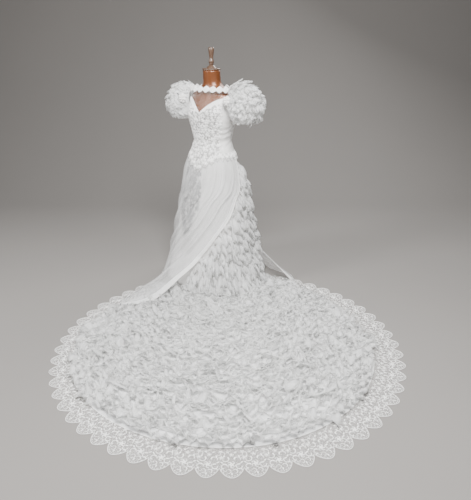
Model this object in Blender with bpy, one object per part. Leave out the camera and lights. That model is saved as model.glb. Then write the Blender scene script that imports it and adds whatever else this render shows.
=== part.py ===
"""A wedding dress on a limbless dress form: boned satin bodice with a net yoke, puffed and
ruffled sleeves, a skirt under an open organza overskirt, and a ruffled train edged with lace.

Metres, +Z up. While the pieces are made, the form's pole stands at the origin. The train is
swept round to the front and lies towards -Y, and the form faces a little to its side. At the
end everything is moved so that the origin is the middle of the floor that the dress covers.
Angles round the body start at the centre front and grow towards the wearer's left side.
"""

import math

import bmesh
import bpy
import numpy as np

# Cloth and seams
SEAM = 0.0003  # gap between two pieces at a seam
SATIN = 0.0018  # wall of bodice and skirt
ORGANZA = 0.0012  # wall of net, lace, ruffles and overskirt
FACING = math.radians(38)  # how far the form is turned from the way the train lies
LEFT = np.array([math.cos(FACING), -math.sin(FACING)])
FRONT = np.array([-math.sin(FACING), -math.cos(FACING)])
ROUND = 28  # corners of a ring round the body
STEP = 2 * math.pi / ROUND
FRILL_STEPS = 4  # straight pieces in one ruffle wave
SCALLOP_STEPS = 4  # and in one scallop of the train

# The form
WAIST = 0.974
FORM_BOTTOM = 0.740
NECK_TOP = 1.425
FORM_TOP = 1.550
POLE_RADIUS = 0.016
BASE_RADIUS = 0.160
BASE_THICK = 0.018
BASE_RINGS = 32
EASE = 0.0035  # air between the form and the bodice
WAIST_EASE = 0.0005  # where the bodice grips the form
WAIST_GRIP = 0.03  # height over which the air grows from one to the other
POINT_EASE = 0.0155  # how much further the point of the basque stands out

# height, half width, half depth, shift to the front
FIGURE = (
    (0.740, 0.160, 0.118, 0.004),
    (0.780, 0.167, 0.124, 0.004),
    (0.830, 0.165, 0.124, 0.004),
    (0.893, 0.156, 0.118, 0.003),
    (0.974, 0.1372, 0.0972, 0.000),
    (1.040, 0.150, 0.106, 0.001),
    (1.100, 0.1642, 0.117, 0.002),
    (1.160, 0.1642, 0.119, 0.002),
    (1.200, 0.1642, 0.106, 0.000),
    (1.240, 0.1642, 0.093, -0.004),
    (1.265, 0.156, 0.084, -0.006),
    (1.285, 0.131, 0.075, -0.007),
    (1.305, 0.099, 0.067, -0.006),
    (1.325, 0.071, 0.061, -0.004),
    (1.350, 0.0585, 0.0575, -0.001),
    (1.425, 0.0560, 0.0560, 0.002),
)
BUST_HEIGHT = 1.155
BUST_SPREAD = 0.048
BUST_DEPTH = 0.020
BUST_ANGLE = math.radians(33)
BUST_WIDTH = math.radians(21)
FORM_BUST = 0.3  # the form fills the cups only partly

# The bodice
NOTCH = 1.150  # centre of the sweetheart neckline
ARMHOLE_TOP = 1.238
SWEETHEART_REACH = math.radians(72)
BACK_TOP = 1.215
BASQUE = 0.888  # seam of bodice and skirt at the sides
BASQUE_POINT = 0.078  # how far its point dips at the centre front
BASQUE_REACH = math.radians(46)
POINT_SEAM = 0.0014  # the slanting seam of the point is a little wider
SEAMS = (math.radians(51), math.radians(129))  # princess seam and back seam
BODICE_ROWS = (4, 3)  # above and below the waistline

# The yoke and its lace collar
COLLAR_HEIGHT = 1.302
COLLAR_WIDTH = 0.1700
COLLAR_DEPTH = 0.0900
YOKE_END = math.radians(77)
YOKE_SEAM = 0.0008
DIAMONDS = 21
DIAMOND_TALL = (0.006, 0.020)  # half height of the collar between and at its diamonds
COLLAR_OUT = 0.0022

# The lace band that covers the basque seam, between and at its points
BAND_POINTS = 28
BAND_TOP = (0.012, 0.016)
BAND_BOTTOM = (-0.008, -0.028)
BAND_FLARE = (0.006, 0.010)
BAND_OUT = (0.0017, 0.0062)  # how far its upper edge and its middle stand out

# The skirt: height, half width, half depth, shift to the front
SKIRT = (
    (0.000, 0.345, 0.335, 0.000),
    (0.200, 0.297, 0.277, 0.000),
    (0.400, 0.260, 0.232, 0.000),
    (0.600, 0.228, 0.190, 0.004),
    (0.700, 0.209, 0.170, 0.006),
    (0.820, 0.185, 0.146, 0.007),
    (0.893, 0.1613, 0.1233, 0.003),
    (0.974, 0.1395, 0.0995, 0.000),
)
SKIRT_ROWS = 8
SKIRT_FOLDS = 7
SKIRT_FOLD = 0.008
TRAIN_FLARE = 0.085  # how far the skirt runs out towards the train
TRAIN_FLARE_TOP = 0.32
TRAIN_SIDE = math.radians(63)  # the middle of the train, round the body
TRAIN_SIDE_WIDTH = math.radians(42)

# The overskirt: share of the way down, angle of the front edge, angle of the back edge
OVERSKIRT_EDGES = (
    (0.00, 103, -195),
    (0.12, 99, -198),
    (0.24, 90, -203),
    (0.30, 76, -207),
    (0.42, 60, -219),
    (0.56, 38, -231),
    (0.70, 19, -241),
    (0.82, 5, -246),
    (0.92, 2, -248),
    (1.00, -6, -249),
)
UNDER_BAND = 0.004  # how far below the basque seam the overskirt starts
OVERSKIRT_COLUMNS = 34
OVERSKIRT_ROWS = 10
KNEE_SHARE = 0.70  # where the overskirt leaves the skirt and runs out on the floor
KNEE_HEIGHT = 0.23
OVERSKIRT_HEM = 0.385
HEM_REACH_LEFT = 0.445  # how much further the hem reaches at the front edge
HEM_REACH_RIGHT = 0.215
OVERSKIRT_FOLDS = 9
OVERSKIRT_FOLD = 0.009
BINDING = 0.009

# The train: an outline round a centre in front of the form
TRAIN_CENTRE = np.array([0.112, -1.050])
TRAIN_RADIUS = (0.912, 0.055, 0.010)
TRAIN_ENDS = (math.radians(-151), math.radians(161))
TRAIN_SEAM_ENDS = (math.radians(-17), math.radians(109))
TRAIN_THICK = 0.002
LACE_WIDTH = 0.110
LACE_NARROWER = 0.050  # how much the ruffles cover of it on the left
GORE_NAMES = ("left", "front_left", "front_right", "right")
GORES = len(GORE_NAMES)
GORE_CORNERS = 16
SEAM_SHARE = 0.00012  # the seam of two gores, as a share of the train's outline
SCALLOPS_IN_GORE = 12
SCALLOP_DEPTH = 0.050
SCALLOP_ROUND = 0.8
TRAIN_ROWS = 8
TRAIN_INNER = 0.6  # first gap, from the skirt's seam, as a share of the gap between rows
TRAIN_RIM = 0.070  # from the last row to the train's edge
TRAIN_WAVE_LENGTH = 0.165
TRAIN_FRILL = 0.052
TRAIN_LEAN = 0.030
TRAIN_WAVE = 0.017
TRAIN_FOOT = np.array([0.050, -0.450])
OVERSKIRT_LOW = 0.11  # the overskirt's edge is in the way of the ruffles below this height
OVERSKIRT_CLEAR = 0.006

# The ruffles that fall down the open side of the overskirt
CASCADE_ROWS = (0.9, 1.7, 2.5, 3.3, 4.1, 4.9, 5.65, 6.4, 7.1)
CASCADE_FRILL = 0.55  # length of a ruffle, in rows of the skirt
CASCADE_FLARE = 0.026
CASCADE_WAVE = 0.009
CASCADE_MARGIN = math.radians(7)
CASCADE_OUT = 0.0003
FRILL_OUT = 0.0010  # from a ruffle's root to the cloth under it

# A sleeve's rings turn about a point at the armpit: turn from the upright armhole, inner and
# outer distance from that point, half depth
SLEEVE_RINGS = (
    (0, 0.040, 0.198, 0.046),
    (15, 0.026, 0.232, 0.080),
    (30, 0.019, 0.244, 0.098),
    (45, 0.018, 0.241, 0.100),
    (60, 0.020, 0.222, 0.096),
    (75, 0.026, 0.186, 0.080),
    (90, 0.032, 0.142, 0.055),
)
SLEEVE_PIVOT = (0.1727, 1.100)
SLEEVE_COLUMNS = 20
SLEEVE_TIERS = (1, 2, 3)
TIER_REACH = 12  # half columns to each side of the outermost line
TIER_FRILL = 1.0
TIER_FLARE = 0.019
TIER_WAVE = 0.006
ROSETTE_AT = (4.6, 0.5)  # column and row of the sleeve
ROSETTE_SIZE = (0.021, 0.026, 0.011)  # half width, half height, half depth


def smooth(at, xs, ys):
    """A smooth curve through a short table, which never overshoots its values."""
    xs, ys = np.asarray(xs, float), np.asarray(ys, float)
    step, rise = np.diff(xs), np.diff(ys)
    slope = rise / step
    same = slope[:-1] * slope[1:] > 0
    total = np.where(same, slope[:-1] + slope[1:], 1.0)
    inner = np.where(same, 2 * slope[:-1] * slope[1:] / total, 0.0)
    tangent = np.concatenate([slope[:1], inner, slope[-1:]])
    k = int(np.clip(np.searchsorted(xs, at) - 1, 0, len(step) - 1))
    t = float(np.clip((at - xs[k]) / step[k], 0, 1))
    return (
        (2 * t**3 - 3 * t**2 + 1) * ys[k]
        + (t**3 - 2 * t**2 + t) * step[k] * tangent[k]
        + (3 * t**2 - 2 * t**3) * ys[k + 1]
        + (t**3 - t**2) * step[k] * tangent[k + 1]
    )


def section(table, height):
    """Half width, half depth and forward shift of a body at a height."""
    columns = list(zip(*table))
    return [smooth(height, columns[0], column) for column in columns[1:]]


def from_body(side, front, height):
    """A point from its distances to the wearer's left and to the front."""
    return np.array([*(side * LEFT + front * FRONT), height])


def wrap(angle):
    """The same angle between minus and plus half a turn."""
    return (angle + math.pi) % (2 * math.pi) - math.pi


def bust(angle, height):
    """How far the cups stand out to the front."""
    across = math.exp(-(((abs(wrap(angle)) - BUST_ANGLE) / BUST_WIDTH) ** 2))
    up = math.exp(-(((height - BUST_HEIGHT) / BUST_SPREAD) ** 2))
    return BUST_DEPTH * across * up


def figure_point(angle, height, out=0.0, full=1.0):
    """A point of the figure's surface, moved out, with full or smaller cups."""
    width, depth, shift = section(FIGURE, height)
    front = (depth + out) * math.cos(angle) + shift + full * bust(angle, height)
    return from_body((width + out) * math.sin(angle), front, height)


def ease(height):
    """Air between the form and the bodice, which grips it at the waist. Below the basque seam
    the bodice follows the skirt."""
    share = min(1.0, abs(height - WAIST) / WAIST_GRIP)
    below = max(0.0, BASQUE - height) / BASQUE_POINT
    return WAIST_EASE + (EASE - WAIST_EASE) * share + POINT_EASE * below


def bodice_point(angle, height):
    """A point of the bodice's outer side."""
    return figure_point(angle, height, ease(height) + SATIN)


def neckline(angle):
    """Height of the bodice's top edge: a sweetheart in front, straight at the back."""
    turn = abs(wrap(angle))
    if turn <= SWEETHEART_REACH:
        rise = 1 - (1 - turn / SWEETHEART_REACH) ** 1.8
        return NOTCH + (ARMHOLE_TOP - NOTCH) * rise
    share = (turn - SWEETHEART_REACH) / (math.pi - SWEETHEART_REACH)
    return ARMHOLE_TOP + (BACK_TOP - ARMHOLE_TOP) * share


def basque(angle):
    """Height of the seam of bodice and skirt, with its point at the centre front."""
    share = max(0.0, 1 - abs(wrap(angle)) / BASQUE_REACH)
    return BASQUE - BASQUE_POINT * share**1.15


def train_side(angle):
    """1 in the middle of the side where the train leaves the skirt, fading to 0."""
    return math.exp(-((wrap(angle - TRAIN_SIDE) / TRAIN_SIDE_WIDTH) ** 2))


def skirt_point(angle, height, out=0.0):
    """A point of the skirt's outer side, moved out."""
    width, depth, shift = section(SKIRT, height)
    fall = max(0.0, 1 - height / BASQUE)
    fold = SKIRT_FOLD * fall * math.sin(SKIRT_FOLDS * angle)
    flare = TRAIN_FLARE * max(0.0, 1 - height / TRAIN_FLARE_TOP) ** 2 * train_side(angle)
    more = out + fold + flare
    front = (depth + more) * math.cos(angle) + shift
    return from_body((width + more) * math.sin(angle), front, height)


def unit(vectors):
    return vectors / np.maximum(np.linalg.norm(vectors, axis=-1, keepdims=True), 1e-9)


def normals(grid, closed):
    """The normals of a grid of points, rows by columns."""
    if closed:
        across = np.roll(grid, -1, axis=1) - np.roll(grid, 1, axis=1)
    else:
        across = np.gradient(grid, axis=1)
    return unit(np.cross(across, np.gradient(grid, axis=0)))


def finish(name, mesh, material):
    """Puts a mesh in the scene as a named object with a material of its own."""
    built = bmesh.new()
    built.from_mesh(mesh)
    bmesh.ops.recalc_face_normals(built, faces=built.faces)
    built.to_mesh(mesh)
    built.free()
    own = material.copy()
    own.name = name + "_" + material.name
    mesh.materials.append(own)
    made = bpy.data.objects.new(name, mesh)
    bpy.context.scene.collection.objects.link(made)
    return made


def wall(name, outer, inner, material, closed=False):
    """A wall of cloth between two grids of points, with its rims closed."""
    outer, inner = np.asarray(outer, float), np.asarray(inner, float)
    rows, columns = outer.shape[:2]
    size = rows * columns
    spans = columns if closed else columns - 1

    def at(layer, row, column):
        return layer * size + row * columns + column % columns

    faces = []
    for row in range(rows - 1):
        for column in range(spans):
            near, far = (row, column), (row + 1, column + 1)
            for corner in ((row, column + 1), (row + 1, column)):
                faces.append([at(0, *near), at(0, *corner), at(0, *far)])
                faces.append([at(1, *far), at(1, *corner), at(1, *near)])
    for row in (0, rows - 1):
        for column in range(spans):
            rim = [at(0, row, column), at(0, row, column + 1)]
            faces.append(rim + [at(1, row, column + 1), at(1, row, column)])
    if not closed:
        for column in (0, columns - 1):
            for row in range(rows - 1):
                rim = [at(0, row, column), at(0, row + 1, column)]
                faces.append(rim + [at(1, row + 1, column), at(1, row, column)])
    mesh = bpy.data.meshes.new(name)
    points = np.concatenate([outer.reshape(-1, 3), inner.reshape(-1, 3)])
    mesh.from_pydata(points.tolist(), [], faces)
    return finish(name, mesh, material)


def thick_wall(name, middle, thick, material, closed=False):
    """A wall of even thickness round a grid of points."""
    middle = np.asarray(middle, float)
    half = normals(middle, closed) * thick / 2
    return wall(name, middle + half, middle - half, material, closed)


def turned(name, profile, centre, corners, material):
    """A solid turned round the vertical, from rows of radius and height, bottom to top."""
    built = bmesh.new()
    rings = []
    for radius, height in profile:
        turn = [2 * math.pi * k / corners for k in range(corners)]
        place = [(centre[0] + radius * math.cos(a), centre[1] + radius * math.sin(a)) for a in turn]
        rings.append([built.verts.new((x, y, height)) for x, y in place])
    for low, high in zip(rings, rings[1:]):
        for k in range(corners):
            built.faces.new((low[k], low[(k + 1) % corners], high[(k + 1) % corners], high[k]))
    built.faces.new(rings[0])
    built.faces.new(rings[-1])
    mesh = bpy.data.meshes.new(name)
    built.to_mesh(mesh)
    built.free()
    return finish(name, mesh, material)


def material(name, colour, roughness, metallic=0.0, alpha=1.0):
    made = bpy.data.materials.new(name)
    made.use_nodes = True
    shader = made.node_tree.nodes["Principled BSDF"]
    shader.inputs["Base Color"].default_value = (*colour, 1.0)
    shader.inputs["Roughness"].default_value = roughness
    shader.inputs["Metallic"].default_value = metallic
    shader.inputs["Alpha"].default_value = alpha
    return made


class Lookup:
    """Points on the triangles of a closed grid, by column and row."""

    def __init__(self, grid):
        self.grid = np.asarray(grid, float)
        self.normal = normals(self.grid, True)
        middle = self.grid.mean(axis=(0, 1))
        if ((self.grid - middle) * self.normal)[..., :2].sum() < 0:
            self.normal = -self.normal

    def read(self, values, column, row):
        rows, columns = values.shape[:2]
        low = min(int(math.floor(row)), rows - 2)
        left = int(math.floor(column))
        down, over = row - low, column - left
        a, b = values[low, left % columns], values[low, (left + 1) % columns]
        c, d = values[low + 1, left % columns], values[low + 1, (left + 1) % columns]
        if over >= down:
            return a + over * (b - a) + down * (d - b)
        return a + down * (c - a) + over * (d - c)

    def point(self, column, row):
        return self.read(self.grid, column, row)

    def outward(self, column, row):
        return unit(self.read(self.normal, column, row))


def frill(name, roots, under, out, flare, wave, cloth):
    """A gathered strip: its root is sewn down, and its free edge waves in and out over the
    points that lie under it."""
    swing = np.sin(2 * math.pi * (np.arange(len(roots)) + 0.5) / FRILL_STEPS)
    edge = under + (flare + wave * math.sqrt(2) * swing)[:, None] * out
    return thick_wall(name, [roots, edge], ORGANZA, cloth)


def make_form(copper, wood, steel):
    """Torso, neck cap, finial, pole and foot of the dress form."""
    heights = [0.740, 0.780, 0.830, 0.880, 0.925, WAIST, 1.020, 1.065, 1.110, 1.155, 1.195]
    heights += [1.235, 1.265, 1.290, 1.315, 1.345, NECK_TOP - 0.012]
    angles = [k * STEP for k in range(ROUND)]
    rings = [[figure_point(a, h, 0.0, FORM_BUST) for a in angles] for h in heights]
    built = bmesh.new()
    verts = [[built.verts.new(p) for p in ring] for ring in rings]
    for low, high in zip(verts, verts[1:]):
        for k in range(ROUND):
            built.faces.new((low[k], low[(k + 1) % ROUND], high[(k + 1) % ROUND], high[k]))
    built.faces.new(verts[0])
    built.faces.new(verts[-1])
    mesh = bpy.data.meshes.new("form_torso")
    built.to_mesh(mesh)
    built.free()
    finish("form_torso", mesh, copper)
    neck = from_body(0, 0.002, 0)
    low = NECK_TOP - 0.012 + SEAM
    cap = [(0.056, low), (0.059, low + 0.003), (0.059, NECK_TOP), (0.030, NECK_TOP + 0.002)]
    cap += [(0.027, NECK_TOP + 0.010), (0.014, NECK_TOP + 0.020)]
    turned("form_neck_cap", cap, neck, 24, wood)
    foot = NECK_TOP + 0.020 + SEAM
    finial = [(0.0130, foot), (0.0150, foot + 0.006), (0.0175, foot + 0.020), (0.0140, foot + 0.034)]
    finial += [(0.0125, foot + 0.048), (0.0165, foot + 0.075), (0.0185, FORM_TOP - 0.004)]
    finial += [(0.0150, FORM_TOP)]
    turned("form_finial", finial, neck, 16, wood)
    pole = [(POLE_RADIUS, BASE_THICK + SEAM), (POLE_RADIUS, FORM_BOTTOM - SEAM)]
    turned("form_pole", pole, (0, 0), 16, steel)
    rim = [(BASE_RADIUS - 0.004, 0), (BASE_RADIUS, 0.004), (BASE_RADIUS, 0.010)]
    rim += [(BASE_RADIUS - 0.012, BASE_THICK)]
    turned("form_base", rim, (0, 0), BASE_RINGS, steel)


def bodice_columns(first, last):
    """Angles of a panel's columns: its two seams, and the ring corners between them."""
    gap = SEAM / 2 / 0.15
    inner = [k * STEP for k in range(-ROUND, ROUND) if first + 0.02 < k * STEP < last - 0.02]
    return [first + gap, *inner, last - gap]


def make_bodice(satin):
    """Front, two sides and back, parted at the princess seams and the back seams."""
    panels = {
        "bodice_front": (-SEAMS[0], SEAMS[0]),
        "bodice_side_left": SEAMS,
        "bodice_side_right": (-SEAMS[1], -SEAMS[0]),
        "bodice_back": (SEAMS[1] - 2 * math.pi, -SEAMS[1]),
    }
    for name, (first, last) in panels.items():
        outer, inner = [], []
        above, below = BODICE_ROWS
        shares = [(0, k / above) for k in range(above)] + [(1, k / below) for k in range(below + 1)]
        for part, share in shares:
            row_out, row_in = [], []
            for angle in bodice_columns(first, last):
                ends = ((neckline(angle), WAIST), (WAIST, basque(angle)))[part]
                height = ends[0] + (ends[1] - ends[0]) * share
                row_out.append(figure_point(angle, height, ease(height) + SATIN))
                row_in.append(figure_point(angle, height, ease(height)))
            outer.append(row_out)
            inner.append(row_in)
        wall(name, outer, inner, satin)


def yoke_point(angle, height, out=0.0):
    """A point on the straight line from the neckline up to the collar, at any height."""
    low = neckline(angle) + YOKE_SEAM
    base = figure_point(angle, low, ease(low) + SATIN - ORGANZA / 2)
    side = COLLAR_WIDTH * math.sin(angle)
    top = from_body(side, COLLAR_DEPTH * math.cos(angle) - 0.004, COLLAR_HEIGHT)
    line = base + (top - base) * (height - low) / (COLLAR_HEIGHT - low)
    return line + out * from_body(math.sin(angle), math.cos(angle), 0.0)


def make_yoke(net):
    """Net between the neckline of the bodice and the collar, open at the armholes."""
    middle_of = {"yoke_front": 0.0, "yoke_back": math.pi}
    for name, centre in middle_of.items():
        first, last = centre - YOKE_END, centre + YOKE_END
        corners = [k * STEP for k in range(-ROUND, ROUND)]
        corners += [seam + turn for seam in (*SEAMS, -SEAMS[0], -SEAMS[1]) for turn in (0, 2 * math.pi)]
        angles = sorted({first, last, *(a for a in corners if first + 0.02 < a < last - 0.02)})
        grid = []
        for share in (0.0, 0.5, 1.0):
            low = [neckline(a) + YOKE_SEAM for a in angles]
            heights = [h + (COLLAR_HEIGHT - h) * share for h in low]
            grid.append([yoke_point(a, h) for a, h in zip(angles, heights)])
        thick_wall(name, grid, ORGANZA, net)


def make_collar(lace):
    """A ring of lace diamonds joined side by side, just outside the net."""
    corners = 2 * DIAMONDS
    grid = []
    for sign in (1, 0, -1):
        row = []
        for k in range(corners):
            height = COLLAR_HEIGHT + sign * DIAMOND_TALL[k % 2]
            row.append(yoke_point(2 * math.pi * k / corners, height, COLLAR_OUT))
        grid.append(row)
    thick_wall("collar_lace", grid, ORGANZA, lace, closed=True)


def make_band(lace):
    """The pointed lace that covers the basque seam and stands out over the skirt."""
    corners = 2 * BAND_POINTS
    rows = [[], [], []]
    for k in range(corners):
        angle = 2 * math.pi * k / corners
        seam = basque(angle)
        top = seam + BAND_TOP[k % 2]
        rows[0].append(figure_point(angle, top, ease(top) + SATIN + BAND_OUT[0]))
        rows[1].append(skirt_point(angle, seam, BAND_OUT[1]))
        rows[2].append(skirt_point(angle, seam + BAND_BOTTOM[k % 2], BAND_FLARE[k % 2]))
    thick_wall("basque_lace", rows, ORGANZA, lace, closed=True)


def make_skirt(satin):
    """The closed skirt, from the basque seam to the floor. Returns its outer grid."""
    angles = [k * STEP for k in range(ROUND)]
    outer, inner = [], []
    for row in range(SKIRT_ROWS + 1):
        share = row / SKIRT_ROWS
        tops = [basque(a) - (POINT_SEAM if basque(a) < BASQUE else SEAM) for a in angles]
        heights = [top * (1 - share) for top in tops]
        outer.append([skirt_point(a, h) for a, h in zip(angles, heights)])
        inner.append([skirt_point(a, h, -SATIN) for a, h in zip(angles, heights)])
    wall("skirt", outer, inner, satin, closed=True)
    return Lookup(outer)


def overskirt_edges(share):
    """Angles of the front and back edge at a share of the way down."""
    shares, front, back = zip(*OVERSKIRT_EDGES)
    return [math.radians(smooth(share, shares, edge)) for edge in (front, back)]


def overskirt_point(across, share):
    """A point of the overskirt: across from front edge to back edge, share of the way down."""
    front, back = overskirt_edges(share)
    angle = front + (back - front) * across
    pleat = math.sin(2 * math.pi * OVERSKIRT_FOLDS * (across + 0.04 * math.sin(5 * share)))
    top = basque(angle) - UNDER_BAND
    down = min(1.0, share / KNEE_SHARE)
    height = top + (KNEE_HEIGHT - top) * down
    away = 0.0024 + 0.018 * down**0.9 + OVERSKIRT_FOLD * down * pleat * 0.5
    start = skirt_point(angle, height, away)
    if share <= KNEE_SHARE:
        return start
    past = (share - KNEE_SHARE) / (1 - KNEE_SHARE)
    from_front = max(0.0, math.degrees(overskirt_edges(1.0)[0] - angle))
    from_back = max(0.0, math.degrees(angle - overskirt_edges(1.0)[1]))
    reach = OVERSKIRT_HEM + HEM_REACH_LEFT * math.exp(-((from_front / 15) ** 2))
    reach += HEM_REACH_RIGHT * math.exp(-((from_back / 20) ** 2))
    reach += OVERSKIRT_FOLD * pleat * past
    over_train = math.exp(-((from_front / 40) ** 4)) + math.exp(-((from_back / 30) ** 4))
    lies = 0.0008 + 0.0036 * min(1.0, over_train)
    start_reach = float(np.linalg.norm(start[:2]))
    hem_skirt = float(np.linalg.norm(skirt_point(angle, 0.0)[:2]))
    taut = math.exp(-((from_back / 25) ** 2))
    bend_reach = max(start_reach + (0.3 + 0.15 * taut) * (reach - start_reach), hem_skirt + 0.018)
    reach = max(reach, hem_skirt + 0.022)
    way = unit(start[:2])
    bend = np.array([*(way * bend_reach), 0.045 + 0.075 * taut])
    end = np.array([*(way * reach), lies])
    return (1 - past) ** 2 * start + 2 * past * (1 - past) * bend + past**2 * end


def make_overskirt(organza, satin):
    """The open overskirt, and the satin bindings of its two edges."""
    shares = [row / OVERSKIRT_ROWS for row in range(OVERSKIRT_ROWS + 1)]
    columns = [k / OVERSKIRT_COLUMNS for k in range(OVERSKIRT_COLUMNS + 1)]
    grid = [[overskirt_point(u, s) for u in columns] for s in shares]
    thick_wall("overskirt", grid, ORGANZA, organza)
    edges = {}
    for name, edge, inside in (("front", 0, 1), ("back", -1, -2)):
        rows = []
        for row in grid:
            away = unit(row[edge] - row[inside])
            rows.append([row[edge] + away * 2 * SEAM, row[edge] + away * (2 * SEAM + BINDING)])
        thick_wall("overskirt_binding_" + name, rows, ORGANZA, satin)
        edges[name] = [row[1] for row in rows]
    return edges


def train_outline(turn, inside=0.0):
    """A point of the train's outline. The turn starts at the front and grows to the right."""
    mean, back, oval = TRAIN_RADIUS
    radius = mean - back * math.cos(turn) + oval * math.cos(2 * turn) - inside
    return TRAIN_CENTRE + radius * np.array([math.sin(turn), -math.cos(turn)])


def lace_width(turn):
    """How much lace shows outside the ruffles: less on the left."""
    return LACE_WIDTH - LACE_NARROWER * max(0.0, -math.sin(turn)) ** 2


def train_edge(share):
    """A point of the edge where the train meets its lace."""
    turn = TRAIN_ENDS[0] + (TRAIN_ENDS[1] - TRAIN_ENDS[0]) * share
    return train_outline(turn, lace_width(turn))


def train_seam(share, skirt):
    """A point of the seam of train and skirt, just outside the skirt's hem."""
    angle = TRAIN_SEAM_ENDS[0] + (TRAIN_SEAM_ENDS[1] - TRAIN_SEAM_ENDS[0]) * share
    column = angle / STEP
    point = skirt.point(column, SKIRT_ROWS)[:2]
    return point + unit(skirt.outward(column, SKIRT_ROWS)[:2]) * (SEAM + 0.0002)


def skirt_corners(first, last):
    """Shares along the train's seam of the skirt's corners, and of two ends."""
    span = TRAIN_SEAM_ENDS[1] - TRAIN_SEAM_ENDS[0]
    shares = [(k * STEP - TRAIN_SEAM_ENDS[0]) / span for k in range(-ROUND, ROUND)]
    return [first, *(share for share in shares if first + 0.002 < share < last - 0.002), last]


def flat_piece(name, outline, thick, cloth):
    """A flat piece of cloth on the floor, cut to an outline."""
    count = len(outline)
    points = [(*p, 0.0) for p in outline] + [(*p, thick) for p in outline]
    faces = [list(range(count))[::-1], list(range(count, 2 * count))]
    faces += [[k, (k + 1) % count, (k + 1) % count + count, k + count] for k in range(count)]
    mesh = bpy.data.meshes.new(name)
    mesh.from_pydata(points, [], faces)
    return finish(name, mesh, cloth)


def make_train(organza, lace, skirt):
    """The flat train, cut in gores and sewn to the skirt's hem, and the scalloped lace round
    it, which is joined where the gores are."""
    for gore in range(GORES):
        word = GORE_NAMES[gore]
        gap = 0.5 * SEAM_SHARE
        first, last = gore / GORES + gap * (gore > 0), (gore + 1) / GORES - gap * (gore < GORES - 1)
        edge = [train_edge(share) for share in np.linspace(first, last, GORE_CORNERS)]
        hem = [train_seam(share, skirt) for share in skirt_corners(first, last)]
        flat_piece("train_" + word, edge + hem[::-1], TRAIN_THICK, organza)
        outer, inner = [], []
        for share in np.linspace(first, last, SCALLOPS_IN_GORE * SCALLOP_STEPS + 1):
            turn = TRAIN_ENDS[0] + (TRAIN_ENDS[1] - TRAIN_ENDS[0]) * share
            lobe = math.sin(math.pi * ((len(outer) / SCALLOP_STEPS) % 1.0)) ** SCALLOP_ROUND
            outer.append(train_outline(turn, -SCALLOP_DEPTH * lobe))
        for point in edge:
            way = unit(point - TRAIN_CENTRE)
            inner.append(point + way * 2 * SEAM)
        flat_piece("train_lace_" + word, outer + inner[::-1], ORGANZA, lace)


def beside(point, line, side):
    """How far a point on the floor lies to one side of a line, or past its end."""
    line = np.array([p[:2] for p in line if p[2] < OVERSKIRT_LOW])
    span = line[1:] - line[:-1]
    share = np.clip(((point - line[:-1]) * span).sum(axis=1) / (span**2).sum(axis=1), 0, 1)
    gaps = point - (line[:-1] + share[:, None] * span)
    far = np.linalg.norm(gaps, axis=1)
    k = int(far.argmin())
    open_side = side * (span[k][0] * gaps[k][1] - span[k][1] * gaps[k][0]) > 0
    past_end = k == len(span) - 1 and share[k] == 1
    return far[k] if open_side or past_end else -far[k]


def train_row_point(along, row, skirt):
    """A point of a row of the train's ruffles, between the skirt's seam and the edge."""
    across = (row + TRAIN_INNER) / (TRAIN_ROWS - 1 + TRAIN_INNER)
    seam, edge = train_seam(along, skirt), train_edge(along)
    rim = edge + unit(TRAIN_CENTRE - edge) * TRAIN_RIM
    return seam + (rim - seam) * across


def longest_run(wanted):
    """First and last number of the longest run of true values."""
    best, start = (0, 0), None
    for k, good in enumerate([*wanted, False]):
        if good and start is None:
            start = k
        if not good and start is not None:
            best = max(best, (start, k - 1), key=lambda run: run[1] - run[0])
            start = None
    return best


def make_train_ruffles(organza, skirt, edges):
    """Rows of ruffles that follow the train's outline, nested from the skirt outwards. Where
    rows come too close, every other one stops."""
    tries = np.linspace(0.0, 1.0, 301)
    lean = TRAIN_LEAN + TRAIN_WAVE * math.sqrt(2)
    for row in range(TRAIN_ROWS):
        plan = np.array([train_row_point(a, row, skirt) for a in tries])
        heading = unit(np.gradient(plan, axis=0))
        out = np.column_stack([heading[:, 1], -heading[:, 0]])
        if np.sum(out * (plan - TRAIN_FOOT)) < 0:
            out = -out
        beyond = min(TRAIN_ROWS, row + 1 + row % 2)
        if beyond < TRAIN_ROWS:
            following = np.array([train_row_point(a, beyond, skirt) for a in tries])
        else:
            following = np.array([train_edge(a) for a in tries])
        good = []
        for point, way in zip(plan, out):
            clear = np.linalg.norm(following - point, axis=1).min() > lean + 0.008
            for place in (point, point + way * lean):
                clear = clear and beside(place, edges["front"], 1) > OVERSKIRT_CLEAR
                clear = clear and beside(place, edges["back"], -1) > OVERSKIRT_CLEAR
            good.append(clear)
        first, last = longest_run(good)
        plan, out = plan[first : last + 1], out[first : last + 1]
        lengths = np.concatenate([[0], np.cumsum(np.linalg.norm(np.diff(plan, axis=0), axis=1))])
        count = max(1, round(lengths[-1] / TRAIN_WAVE_LENGTH)) * FRILL_STEPS + 1
        even = np.linspace(0, lengths[-1], count)
        plan = np.column_stack([np.interp(even, lengths, plan[:, k]) for k in (0, 1)])
        out = np.column_stack([np.interp(even, lengths, out[:, k]) for k in (0, 1)])
        roots = np.column_stack([plan, np.full(count, TRAIN_THICK + SEAM + 0.0005)])
        out = np.column_stack([unit(out), np.zeros(count)])
        under = roots + [0.0, 0.0, TRAIN_FRILL]
        frill(f"train_ruffle_{row + 1}", roots, under, out, TRAIN_LEAN, TRAIN_WAVE, organza)


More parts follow.
